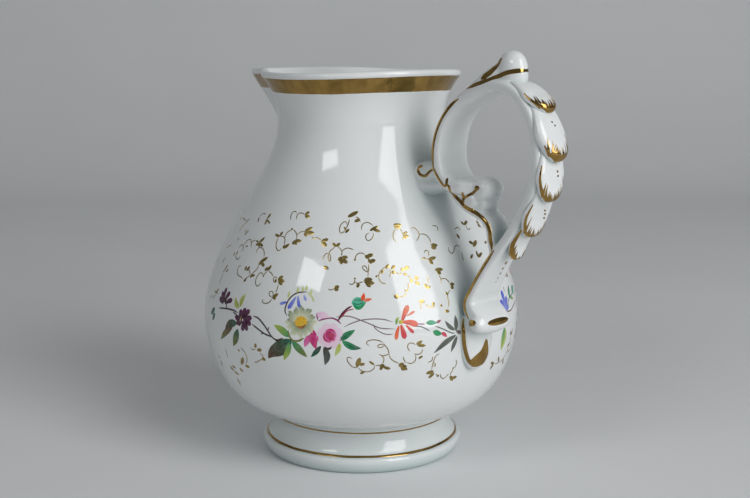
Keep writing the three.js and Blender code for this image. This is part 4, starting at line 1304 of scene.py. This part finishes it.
for width, first, last, pixels in [
    (7.5, "orange", "pale orange", [(402, 321), (405, 313), (408, 305)]),
    (3.5, "pale orange", "pale orange", [(407, 316), (415, 311)]),
    (8.5, "orange", "orange", [(403, 322), (410, 322.5), (418, 325)]),
    (5, "orange", "red", [(406, 325), (410, 329), (414, 333)]),
    (7.5, "orange", "red", [(401, 325), (403, 331), (405, 339)]),
    (5.5, "orange", "pale orange", [(399, 326), (397, 333), (396, 340)]),
]:
    paint(pixels, width, petal_form, first, last)
for pixels in ([(402, 322), (406, 314)], [(404, 323), (412, 324)], [(402, 326), (404, 334)]):
    paint(pixels, 1.2, line_form, "red", "crimson", 1)
paint([(398.5, 322), (401, 322), (403.5, 322)], 4, round_form, "yellow green", "yellow", 2)
garland.tell("bud, orange flower and two small buds")

# %% Spray beyond the handle
def on_belly(turn, height):
    """The place on the belly at a turn in degrees from the handle and a height in millimetres."""
    out = Vector((math.cos(math.radians(turn)), math.sin(math.radians(turn)), 0))
    return np.array(body_surface.ray_cast(Vector((AXIS_X, 0, height * MM)) + out * 0.2, -out)[0])


BLUE_FLOWER = (19.8, 61.2)
for form, width, first, last, places in [
    (line_form, 1.4, "stem", "mauve", [BLUE_FLOWER, (24, 60.6), (28.5, 61.6), (33, 62.4)]),
    (line_form, 1.3, "sea green", "stem", [(20.6, 61.6), (23.4, 64.6), (26.4, 65.6), (30, 66)]),
    (line_form, 1.3, "olive", "green", [BLUE_FLOWER, (18.8, 58), (17.5, 54.6)]),
    (leaf_form, 6, "green", "sea green", [(25, 65.4), (26, 67.6), (27.4, 69.6)]),
    (leaf_form, 8, "green", "teal", [(29.6, 66), (32, 67.4), (34.6, 67.8)]),
    (leaf_form, 4, "green", "yellow green", [(26, 65.6), (28, 64.6), (30, 64.2)]),
    (leaf_form, 12, "green", "yellow green", [(17.4, 55.4), (17.6, 51), (16.8, 46.6)]),
    (leaf_form, 7, "yellow green", "pale green", [(18.4, 55), (18.8, 51), (17, 46.8)]),
    (leaf_form, 4.4, "yellow green", "olive", [(18.6, 61.6), (16.6, 62.2), (14.8, 63.4)]),
    (petal_form, 9, "pale blue", "blue", [BLUE_FLOWER, (19.4, 65), (18.8, 69.4)]),
    (petal_form, 8, "pale blue", "blue", [BLUE_FLOWER, (18, 64), (16.2, 66.2)]),
    (petal_form, 8, "pale blue", "blue", [BLUE_FLOWER, (20.8, 64), (22, 66.6)]),
    (petal_form, 6, "blue", "pale blue", [BLUE_FLOWER, (21.4, 62.2), (23, 63)]),
    (round_form, 4, "yellow", "ochre", [(19, 61.4), (19.8, 61.4), (20.6, 61.4)]),
]:
    colours = (enamel_colour(first), enamel_colour(last))
    garland.stroke([on_belly(*place) for place in places], width * PIXEL, form, 0, colours)
garland.finished("garland_enamel", enamel)

# %% [markdown]
# ## Gilt tendrils
#
# Above and below the garland the gilder drew sprigs of ivy with a fine brush: looping lines, with leaves of two or
# three rounded lobes. A sprig here is a list of lines and a list of lobes, and a lobe is one press of the brush from
# its root to its tip. Gold laid so thin is duller and more olive than the burnished band, so it has its own finish.

# %% Tendril strokes
THIN_GOLD_BRIGHT = (0.43, 0.32, 0.105, 1)
THIN_GOLD_DEEP = (0.20, 0.15, 0.05, 1)
LINE_WIDTH = 1.0
tendrils = Painting(body_surface)


def draw_gold(pixels, width, form, last_turn):
    points = seen_line(body_surface, pixels)
    if len(points) == len(pixels):
        for line in round_the_jug(points, last_turn):
            tendrils.stroke(line, width * PIXEL, form)


def sprig(lines, lobes, last_turn=SEEN_ROUND[1]):
    """Lines as rows of pixels, and lobes as root, tip and width in pixels."""
    for line in lines:
        draw_gold(line, LINE_WIDTH, line_form, last_turn)
    for x, y, tip_x, tip_y, width in lobes:
        draw_gold([(x, y), (tip_x, tip_y)], width, round_form, last_turn)
    print("a sprig of", len(lines), "lines and", len(lobes), "lobes")


thin_gold = make_gilding("thin_gold", THIN_GOLD_DEEP, THIN_GOLD_BRIGHT, 420, 0.75, 0.16, 0.3)
print("finish:", thin_gold.name)

# %% Sprigs near the left edge
sprig(
    [[(244.8, 224), (241.5, 227.4), (239.8, 231.5)], [(223.2, 273.8), (220.8, 279.6), (219.5, 283.7)]],
    [
        (244.8, 224, 249.8, 218.2, 1.8), (239.8, 220, 242.3, 217, 1.6), (245.6, 220.7, 243.1, 217.8, 1.5),
        (244.4, 235.2, 249, 229.9, 2.2), (244.8, 232.3, 246.5, 229.4, 1.6), (237.3, 240.6, 239.4, 237.3, 1.4),
        (226.1, 248.1, 231.5, 244.8, 1.4), (217, 263, 219.1, 258, 1.6), (222, 263.8, 225, 257.2, 2),
        (224.1, 270.5, 228.2, 264.7, 2.2), (225.7, 272.1, 228.6, 268.8, 2.4), (222.8, 273, 225, 269.7, 1.6),
        (215.5, 293.3, 219.3, 288.3, 2.4), (214.4, 290.5, 217.7, 293.8, 2), (210.4, 298.2, 212, 295, 1.4),
        (212.7, 298.8, 215.5, 294.4, 1.6),
    ],
)
sprig(
    [[(260.1, 216.6), (262.2, 214.1), (264.3, 213.3), (265.5, 214.5)]],
    [
        (257.7, 222.4, 259.3, 217, 2), (264.7, 225, 267.6, 218.2, 3), (267.2, 219, 271, 213.3, 3),
        (267.2, 220, 270.1, 223.6, 2.2),
    ],
)

# %% Long sprig on the left
sprig(
    [
        [(255.6, 240.6), (253.1, 241), (251.4, 242.7)],
        [(251, 247.3), (251.4, 243.1), (250.2, 239.4), (247.3, 240.6), (244.8, 243.9), (244, 245.2)],
        [(243.6, 245.2), (242, 244.8), (239.8, 246.4), (239, 248.1)],
        [(241.5, 251.4), (243.6, 248.1), (243.1, 245.6)],
        [(238.2, 250.6), (236.1, 254.7), (236.1, 258), (237.8, 259.3), (239.4, 258), (240.2, 255.6)],
        [(256.4, 253.1), (257.2, 249.8), (259.3, 247.7), (262.2, 248.1), (263.9, 250.6), (264.3, 254.7),
         (263.9, 257.2)],
        [(259, 264.3), (257.2, 268.8), (253.9, 272.1), (252.3, 273.4)],
        [(250.2, 274.6), (249.4, 270.5), (248.1, 269.7)],
        [(250.2, 275), (247.3, 277.5), (245.6, 278.4)],
        [(242.7, 279.2), (241.5, 277.1), (239.8, 276.3), (237.8, 274.6), (237.3, 271.3), (239, 266.3),
         (241.1, 265.9)],
    ],
    [
        (258.5, 243.4, 265.1, 237.3, 3.4), (259.7, 243.9, 255.6, 244.8, 3), (259.3, 243.1, 263, 246.4, 3.2),
        (259.3, 243.9, 259, 247.3, 2.6), (258.5, 242.4, 256.4, 240.4, 2.2), (245.6, 247, 248.1, 245.6, 1.8),
        (233.6, 256, 235, 251.8, 1.8), (236.1, 254.7, 238.2, 251.4, 1.8), (259, 263.2, 268, 257.2, 4),
        (261.4, 262.4, 264.3, 266.5, 3.6), (258.5, 264.3, 262.2, 262.6, 2.8), (250.2, 278, 252.5, 273.4, 2.8),
        (251.2, 276, 255, 275, 2.8), (244.8, 270.8, 246.7, 265.9, 3.2), (246.3, 270.8, 250.2, 266.3, 3.2),
        (243.6, 281.7, 246.5, 278.4, 3),
    ],
)

# %% Sprig beside it
sprig(
    [
        [(263, 277.5), (264.7, 273.8), (267.2, 271.3)],
        [(268.8, 271.3), (271.3, 273), (273, 276.3)],
        [(263, 277.1), (262.6, 273.4), (260.1, 273), (256.8, 277.1), (255.6, 281.7), (256.8, 286.2), (259.7, 284.6),
         (261.4, 282.5)],
        [(277.1, 278), (274.6, 276.7), (273.4, 278.8), (274.2, 282.1), (276.7, 282.1)],
        [(278.4, 284.5), (277.4, 288.5), (275.6, 292.6)],
        [(272.2, 297.5), (269.3, 295), (269.6, 291.8), (272.2, 291.4), (273.2, 293.6), (272.6, 296)],
        [(272, 298.6), (269.4, 302.2), (266, 303.4), (262.8, 302.5), (262, 300.6), (264, 299.8)],
    ],
    [
        (264.7, 270.7, 268.2, 267.2, 3.4), (267.2, 270.9, 271.7, 265.1, 3.4), (275.1, 282.1, 276.7, 278.8, 2.8),
        (278, 280, 283.4, 275.9, 4), (278.4, 280.2, 284.6, 281.7, 4.2), (278.4, 280.8, 282.5, 285, 3.8),
        (272, 298, 278.4, 293.6, 3.8), (272.4, 296.6, 276, 299.2, 3),
    ],
)

# %% Sprigs above the daisy
sprig(
    [
        [(290.4, 220), (291.2, 215), (293.3, 211.6), (295.8, 211.6), (296.6, 213)],
        [(296.6, 219.5), (297, 215.8), (299.1, 213.3), (302, 213), (304.5, 214.5)],
        [(280.5, 236.5), (283.4, 236.5), (285, 239), (284.6, 243.1), (284.2, 245.2)],
        [(278.4, 237.3), (276.3, 243.1), (276.3, 247.7), (278, 250.6), (280, 250.2), (281, 248.1)],
        [(285, 237.3), (286.7, 233.2), (290.4, 230.3), (292.5, 229)],
        [(293.3, 229.4), (295.8, 232.3), (297, 235.7), (296.2, 239)],
        [(297, 235.7), (299.5, 232.8), (302.8, 231.5), (304.5, 231.5)],
        [(312, 236.5), (312.8, 238.6), (316.1, 237.7), (319, 238.6), (321.5, 240.6)],
    ],
    [
        (304.9, 215.5, 309.5, 211.4, 3.6), (304.9, 216, 310, 217, 3.8), (279.4, 236.7, 275.3, 234.2, 3.2),
        (279.4, 236.7, 283, 231.5, 2.8), (283.2, 248.5, 289.8, 243.9, 3.6), (282.9, 248.3, 284.8, 245, 2.8),
        (290.8, 230.5, 293, 227.8, 2), (296.8, 240.4, 292, 244.2, 4.2), (295, 240, 301.6, 241.5, 3.6),
        (295, 240.6, 296.4, 245, 3.2), (304.3, 232, 312.8, 227.4, 4.2), (304.7, 232.4, 314.5, 233.4, 4.6),
        (304.9, 232.4, 306.4, 236.7, 3.6), (321.3, 241.6, 328.5, 239, 4), (321.5, 241.6, 326.7, 246.6, 4.4),
    ],
)

# %% Sprigs above the rose
sprig(
    [
        [(335.4, 246.4), (332.5, 249), (330, 251), (329.4, 253.1), (330.6, 258), (329.4, 261.8), (328.1, 258),
         (328.5, 253.1)],
        [(328.5, 253.1), (325.6, 253.9), (323.6, 257.2), (323.2, 259.7)],
        [(337.5, 246.4), (340.4, 249), (342, 251.8), (341.2, 256.4)],
        [(342, 251.8), (344.5, 249), (348.7, 248.1), (353.6, 249.8)],
        [(355, 260.1), (355.7, 256.4), (358.2, 253.5), (361.9, 253.1), (364.8, 254.7)],
        [(367.7, 271.3), (365.7, 266.3), (362.8, 266), (362.8, 268.4), (365.7, 271.3), (368.1, 272.1),
         (367.7, 277.1)],
        [(368.6, 263.8), (368.8, 268.8), (367.9, 273)],
        [(349.1, 283.3), (351.6, 284.6), (354.5, 282.5), (355, 278.8)],
        [(354.5, 282.1), (357, 283.3), (359, 283), (361.9, 282.1), (363.6, 281.7)],
        [(328, 289), (330.4, 290), (332.4, 289.6), (334, 288.6)],
    ],
    [
        (336.2, 246.8, 332.3, 242.9, 3.2), (335.8, 246.8, 340.2, 242.9, 3.2), (323.4, 266.3, 328.7, 269, 3.6),
        (342.6, 257, 338, 260.7, 4.2), (341.6, 257.2, 348, 257.4, 3.8), (342, 259.3, 347.6, 263.2, 4.2),
        (341.2, 258.4, 341.4, 264.5, 4.2), (354.3, 260.9, 355.6, 258.5, 2), (365.5, 257.4, 373.3, 254.1, 4.2),
        (365, 255.2, 369.4, 258.6, 4), (368.4, 262, 375.8, 260, 4.2), (368.2, 259, 371.7, 263.8, 3.2),
        (363.8, 280.4, 372.5, 279.4, 5.2), (364, 282, 374.6, 283.3, 4.8), (366, 282.6, 370.8, 287, 4.2),
        (354.9, 279.4, 354.7, 277.5, 2), (356.9, 287.7, 359.2, 283.1, 3.2), (333.5, 288.9, 339.3, 286, 4.2),
        (334.2, 289.3, 338.7, 289.8, 3.6),
    ],
)
sprig(
    [
        [(355.7, 217), (358.6, 218.2), (360.3, 222)],
        [(349.5, 219.5), (348.2, 224), (346.2, 228.6)],
        [(347, 225), (346.2, 222), (343.7, 222), (340.4, 225.7), (339.5, 230.3), (340.8, 233.2), (343.7, 231.9),
         (345, 229)],
        [(361.5, 230), (361.9, 225.7), (364, 223.2), (367.3, 222.4), (370.6, 223.6), (373.1, 226.1)],
        [(373.5, 232.8), (373.1, 236.5), (370.6, 239.8), (367.7, 240.6), (365.7, 237.7), (366.5, 234.4),
         (369.4, 232.8)],
    ],
    [
        (347.6, 217.2, 358.4, 211.4, 4.2), (354.3, 221.8, 360.1, 219.3, 3.6), (345.1, 233, 349.3, 228.8, 2.8),
        (346, 230.3, 344, 226.7, 2.2), (369.6, 230.9, 378.3, 226, 3.2), (373.1, 229.2, 380.4, 231.7, 3.4),
    ],
)

# %% Sprigs in the light on the belly
NEAR_HANDLE = -21
sprig(
    [
        [(395.5, 229), (393.4, 233.2), (393.4, 238.1), (396.3, 242.3)],
        [(400.1, 228.6), (402.6, 233.2), (403.4, 237.3), (402.1, 240.6)],
        [(410.4, 228.6), (413.7, 227.8), (417.1, 230.3), (419.1, 234), (418.3, 238.1), (416.2, 241)],
        [(419.6, 234.4), (423.7, 234), (427.8, 236.5), (430.3, 240.6), (430.7, 243.1)],
        [(424.1, 253.1), (425.8, 250.2), (428.3, 251.4), (428.7, 256.4)],
        [(425.4, 258.2), (428.3, 259.3)],
        [(438.6, 274.6), (440.7, 278.8), (440.7, 283)],
        [(440.7, 279.2), (444, 278.4), (447.3, 280), (449.8, 283.3)],
        [(376, 276.7), (379, 275), (379.8, 272.1), (383.1, 268.8), (385.6, 266.3)],
        [(379, 275.5), (379.3, 279.6), (382.2, 283), (386.4, 283.3)],
        [(389.7, 268.8), (391, 273), (389.3, 277.1)],
        [(432, 225.7), (437, 226.5), (437.8, 230.7)],
    ],
    [
        (393.2, 225, 401.9, 225.3, 4.2), (394, 227, 400.7, 227.4, 4), (403.6, 234.2, 407.3, 231.7, 3),
        (404, 235.3, 409, 236.7, 3.2), (404.2, 235.3, 405.7, 239.2, 2.8), (430.5, 245, 437.6, 245.2, 4.2),
        (431, 247.6, 436.3, 247.6, 4.2), (428.1, 259.9, 436, 257, 3.8), (428.7, 259, 433, 264.5, 4),
        (422, 258.5, 425.6, 258, 2.2), (434.7, 270.1, 443, 269.2, 4.2), (436.8, 271.7, 441.3, 273.6, 4),
        (450, 284.8, 454.2, 283.7, 4), (450.4, 286.7, 453.8, 288.1, 4), (375.6, 277.1, 377.6, 275.5, 2),
        (380.6, 273.2, 384.1, 270.7, 2.6), (385.4, 268.6, 389.5, 264.5, 3.4),
    ],
    NEAR_HANDLE,
)
sprig(
    [
        [(395.8, 271.8), (398.8, 273.9), (402.4, 272.3)],
        [(407.5, 275.4), (409.6, 277.4), (410.6, 280)],
        [(404.4, 288.7), (405.5, 290.7), (407.5, 289.7), (408.5, 286.6), (408, 282.6)],
        [(427.4, 276.4), (427.9, 280.5), (427.7, 284.1)],
        [(399.9, 297.3), (403.9, 295.8), (406.5, 292.8)],
        [(420.8, 303), (420.8, 309.1)],
        [(425.4, 304), (429, 307), (435.6, 306.5)],
        [(450, 289.7), (447.8, 293.8), (447.8, 298), (448.8, 303.5), (447.8, 308.1)],
    ],
    [
        (391.7, 273, 395.3, 271.8, 4), (391.2, 269.3, 395.3, 265.2, 3.4), (400.4, 268.8, 404.4, 270.3, 4),
        (403.9, 269.3, 409, 266.7, 4), (403.2, 273.9, 407, 274.6, 3), (409.8, 281.5, 413.1, 280, 4),
        (414.1, 278.5, 418.7, 277.4, 4), (414.7, 281.5, 419.8, 284.6, 3.6), (406, 291.7, 407, 289.7, 2.6),
        (424.3, 284.1, 426.9, 287.7, 3.6), (426.4, 288.2, 430.5, 286.1, 3.6), (393.7, 295.8, 399.3, 297.3, 4.4),
        (418.7, 301.4, 425, 301.4, 3.6), (433, 306, 433.5, 301.9, 3.4), (445.3, 291.7, 447.8, 295.3, 2.4),
        (444.8, 310.6, 449.3, 311.6, 3.4), (439.7, 305.5, 442.4, 305.5, 2.6),
    ],
    NEAR_HANDLE,
)

# %% Sprigs seen through the handle
sprig(
    [
        [(448.8, 247.1), (449.1, 251), (451.4, 253.5), (453.9, 251), (454.6, 247.1), (456.5, 245.2), (459.7, 246.5)],
        [(466.1, 225.4), (467.3, 229.2), (470.5, 228.6)],
        [(460.3, 230.5), (457.8, 227.3), (454.6, 229.2)],
        [(461.6, 252.2), (463.5, 261.1)],
    ],
    [
        (460.7, 221.4, 464.3, 225, 3.2), (463.9, 225, 467.2, 220.7, 3.4), (456.5, 233.7, 459.7, 238.8, 3.2),
        (468.7, 241.8, 473.3, 243.3, 4), (472.9, 246.7, 476.5, 240.5, 4.6), (476.1, 250.7, 478.4, 257.5, 3.4),
        (478, 257.5, 481.9, 252.6, 3.4), (484.6, 243.3, 486.5, 241.4, 3), (470.5, 258.6, 472.8, 254.1, 3),
    ],
)

# %% Sprigs below the garland on the right
sprig(
    [
        [(369.6, 345.5), (367, 344.2), (366.8, 341.9), (369.6, 340.4), (374.7, 339.9), (379.8, 340.9), (383.4, 343)],
        [(383.4, 343), (385, 345.5), (387.4, 348.3), (388.7, 351.9), (389.2, 354.4)],
        [(384.4, 345.5), (380.8, 344.2), (378, 345.3), (377.8, 347.1), (379.8, 347.6), (382.9, 346.8),
         (384.4, 345.8)],
        [(379, 354.2), (381.8, 355.7), (383.9, 358.5), (383.6, 361.6), (382.3, 363.6)],
        [(381.8, 355.5), (385, 355.5), (388, 354.4), (389.5, 353.9)],
        [(389.2, 354.4), (390, 357.5), (393.1, 360.6), (396.6, 362.4), (399.2, 363.6)],
        [(403.3, 356.5), (403.8, 359.6), (405.3, 362.1), (404.8, 363.1)],
        [(406.3, 362.4), (410.4, 363.4), (414, 362.1), (415.8, 359), (415.5, 355)],
        [(410.2, 351.4), (407.9, 348.3), (407.9, 344.8), (410.4, 343), (413.5, 343.5), (415.5, 344.8)],
        [(352.2, 358.8), (350.2, 357.5), (347.7, 357.3), (347.1, 360.1), (349.2, 363.6), (352.8, 367), (356.8, 367.5),
         (358.4, 366.7)],
        [(358.4, 367.7), (361.4, 370.8), (365.5, 371.8), (370.6, 371), (374.2, 368.2), (374.4, 365.2)],
        [(375.2, 365.4), (378.8, 365.4), (380.8, 364.7)],
        [(422.4, 348.8), (421.9, 351.9), (419.9, 353.9), (416.8, 354.4), (413.8, 353.9)],
    ],
    [
        (379.6, 366.2, 384.8, 365.4, 4.2), (380.1, 370, 382.5, 366.3, 3.4), (383, 366.9, 390.5, 368.9, 3.4),
        (398.5, 365.9, 404, 363.4, 4.2), (399, 366.2, 407, 366.4, 4.2), (400.8, 366.8, 407.5, 369.7, 4.2),
        (401.3, 367, 404, 370.5, 3.4), (356.6, 367, 360.1, 357.6, 4.8), (359.4, 364.9, 364.9, 363.7, 3.4),
        (360.2, 374, 364.7, 371.1, 2.8), (368.9, 361.1, 374.4, 364.9, 2.4), (416.1, 344.4, 422.6, 340.7, 3.2),
        (417, 345, 425.7, 345.7, 3.4), (418.2, 358.7, 422.9, 355.8, 2.6),
    ],
)
sprig(
    [
        [(439.5, 353.9), (435.7, 356), (434.2, 359.6), (433.2, 362.6), (432.1, 366.7), (431.6, 369.8)],
        [(433.7, 362.6), (435.7, 364.7), (435, 366.7), (433.4, 364.7)],
        [(427.8, 362.4), (431.1, 361.1), (432.7, 358.5), (432.1, 356.5)],
        [(435.7, 374.1), (437.5, 375.4)],
        [(440.3, 373.8), (440.8, 377), (442.9, 378.7), (445.4, 377.4), (447.4, 375), (449, 373.8)],
        [(450.3, 375.3), (450.5, 373.8), (452, 371.3), (453.3, 367.7)],
        [(455.1, 367.7), (456.1, 364.7), (456.6, 361.6), (455.6, 359.6)],
    ],
    [
        (425.8, 373.5, 433.9, 371.1, 4.2), (428.4, 378.1, 434.4, 372.6, 3.8), (437, 377, 439, 374.7, 2.6),
        (452.4, 368.9, 454.3, 367, 2), (449.8, 375.7, 452.8, 380.7, 4), (451.6, 378.2, 456.8, 376.7, 4),
    ],
)

# %% Sprigs below the garland on the left
sprig(
    [
        [(250.8, 347.7), (252.8, 349.7), (255.4, 349)],
        [(254.3, 362), (257, 362), (259.4, 360.4), (262, 359.4)],
        [(260, 353.3), (262.5, 355.3), (263.5, 358)],
        [(245.7, 363.5), (247.2, 360), (246.7, 357), (245.2, 352.8), (240.6, 347.2)],
        [(224.8, 348.2), (226.8, 353.3), (227.8, 358)],
        [(236.5, 378.3), (239, 382), (241.1, 386)],
    ],
    [
        (255.4, 348.2, 255.6, 343.4, 3.4), (257, 350, 261.7, 350, 3.8), (261.8, 358.2, 265.8, 360.1, 3.8),
        (241.4, 364.7, 243.3, 357.4, 4.6), (245, 365.4, 249.7, 367.3, 3.6), (239.4, 367.9, 243.3, 371.9, 3.2),
        (237.5, 349.2, 240.1, 351.3, 2), (230.2, 366.4, 234.1, 370.9, 3.6), (232.2, 365.4, 235.7, 368.3, 2.8),
        (234.2, 371.5, 239.2, 374.9, 2.8), (218.1, 354.8, 220.2, 358.4, 1.8), (221, 360, 222.5, 367.1, 2.4),
        (237.5, 378.8, 240.6, 383.9, 2),
    ],
)

# %% Sprig beyond the handle
for form, width, places in [
    (line_form, LINE_WIDTH, [(25.6, 51), (25, 47), (23.4, 43.6), (19, 41.6), (13, 42)]),
    (line_form, LINE_WIDTH, [(24.4, 45), (27, 43.4), (28.6, 45), (27.6, 46.6)]),
    (round_form, 3, [(25, 47.6), (22.8, 46.4)]), (round_form, 3.4, [(25.6, 50.6), (26.6, 53)]),
    (round_form, 3, [(25.6, 50.6), (23.8, 52.4)]), (round_form, 3.4, [(21.4, 42.2), (22.8, 39.6)]),
    (round_form, 3.4, [(17.2, 41.8), (15.8, 44.4)]), (round_form, 3.6, [(13.2, 42), (10.8, 43.2)]),
    (round_form, 3.6, [(13.2, 42), (11.4, 40.2)]),
]:
    tendrils.stroke([on_belly(*place) for place in places], width * PIXEL, form)
tendrils.finished("ivy_gold", thin_gold)

# %% [markdown]
# ## Floor and light
#
# The jug stands on a pale sweep of paper. Two soft lamps, a tall one and a low one, stand where the windows were,
# because their reflections on the neck and belly tell the eye that the glaze is glossy. The world fills the shadows
# at a low level.

# %% Floor sweep
FLOOR_COLOUR, FLOOR_SHADE = (0.80, 0.81, 0.82, 1), (0.78, 0.79, 0.80, 1)
FLOOR_CLOUD, FLOOR_ROUGHNESS = 9, 0.9
SWEEP_RADIUS, SWEEP_BACK, SWEEP_FRONT, SWEEP_HALF_WIDTH, SWEEP_TOP = 0.35, 0.75, 1.5, 2.5, 2.2


def floor_sweep():
    corner = [
        (SWEEP_BACK + SWEEP_RADIUS * math.sin(turn), SWEEP_RADIUS * (1 - math.cos(turn)))
        for turn in np.linspace(0, math.pi / 2, 24)
    ]
    section = [(-SWEEP_FRONT, 0.0), *corner, (SWEEP_BACK + SWEEP_RADIUS, SWEEP_TOP)]
    points, faces = [], []
    for i, (back, height) in enumerate(section):
        for side in (-SWEEP_HALF_WIDTH, SWEEP_HALF_WIDTH):
            points.append(Vector((AXIS_X, 0, height)) - viewer * back + viewer_right * side)
        if i:
            faces.append((2 * i - 2, 2 * i - 1, 2 * i + 1, 2 * i))
    return points, faces


points, faces = floor_sweep()
sweep_mesh = skin_mesh("floor_sweep", points, faces)
paper, shader = blank_finish("pale_paper")
cloud = noise_between(paper, FLOOR_CLOUD, 0.0, 1.0)
link(paper, mixed_colour(paper, cloud, FLOOR_COLOUR, FLOOR_SHADE), shader.inputs["Base Color"])
shader.inputs["Roughness"].default_value = FLOOR_ROUGHNESS
sweep_mesh.materials.append(paper)
sweep = bpy.data.objects.new("floor_sweep", sweep_mesh)
bpy.context.scene.collection.objects.link(sweep)
print("the floor sweep is %.1f m wide" % (2 * SWEEP_HALF_WIDTH))

# %% Lamps and world
JUG_MIDDLE = Vector((AXIS_X, 0, 80 * MM))
ROOM_COLOUR, ROOM_STRENGTH = (0.85, 0.88, 0.9, 1), 0.19


def soft_lamp(name, to_right, up, distance, width, height, watts):
    """An area lamp seen from the jug at an angle to the viewer's right and up."""
    turn, rise = math.radians(to_right), math.radians(up)
    way = (viewer * math.cos(turn) + viewer_right * math.sin(turn)) * math.cos(rise) + upward * math.sin(rise)
    lamp = bpy.data.lights.new(name, "AREA")
    lamp.shape = "RECTANGLE"
    lamp.size, lamp.size_y = width, height
    lamp.energy = watts
    holder = bpy.data.objects.new(name, lamp)
    holder.location = JUG_MIDDLE + way * distance
    holder.rotation_euler = (-way).to_track_quat("-Z", "Y").to_euler()
    bpy.context.scene.collection.objects.link(holder)
    print(name, "at", [round(value, 2) for value in holder.location])


soft_lamp("right_window", to_right=42, up=24, distance=1.3, width=0.62, height=1.1, watts=11)
soft_lamp("left_window", to_right=-43, up=34, distance=1.6, width=0.5, height=0.3, watts=2.8)

world = bpy.data.worlds.new("room")
bpy.context.scene.world = world
world.use_nodes = True
room_light = world.node_tree.nodes["Background"]
room_light.inputs["Color"].default_value = ROOM_COLOUR
room_light.inputs["Strength"].default_value = ROOM_STRENGTH
bpy.context.scene.view_settings.view_transform = "Standard"
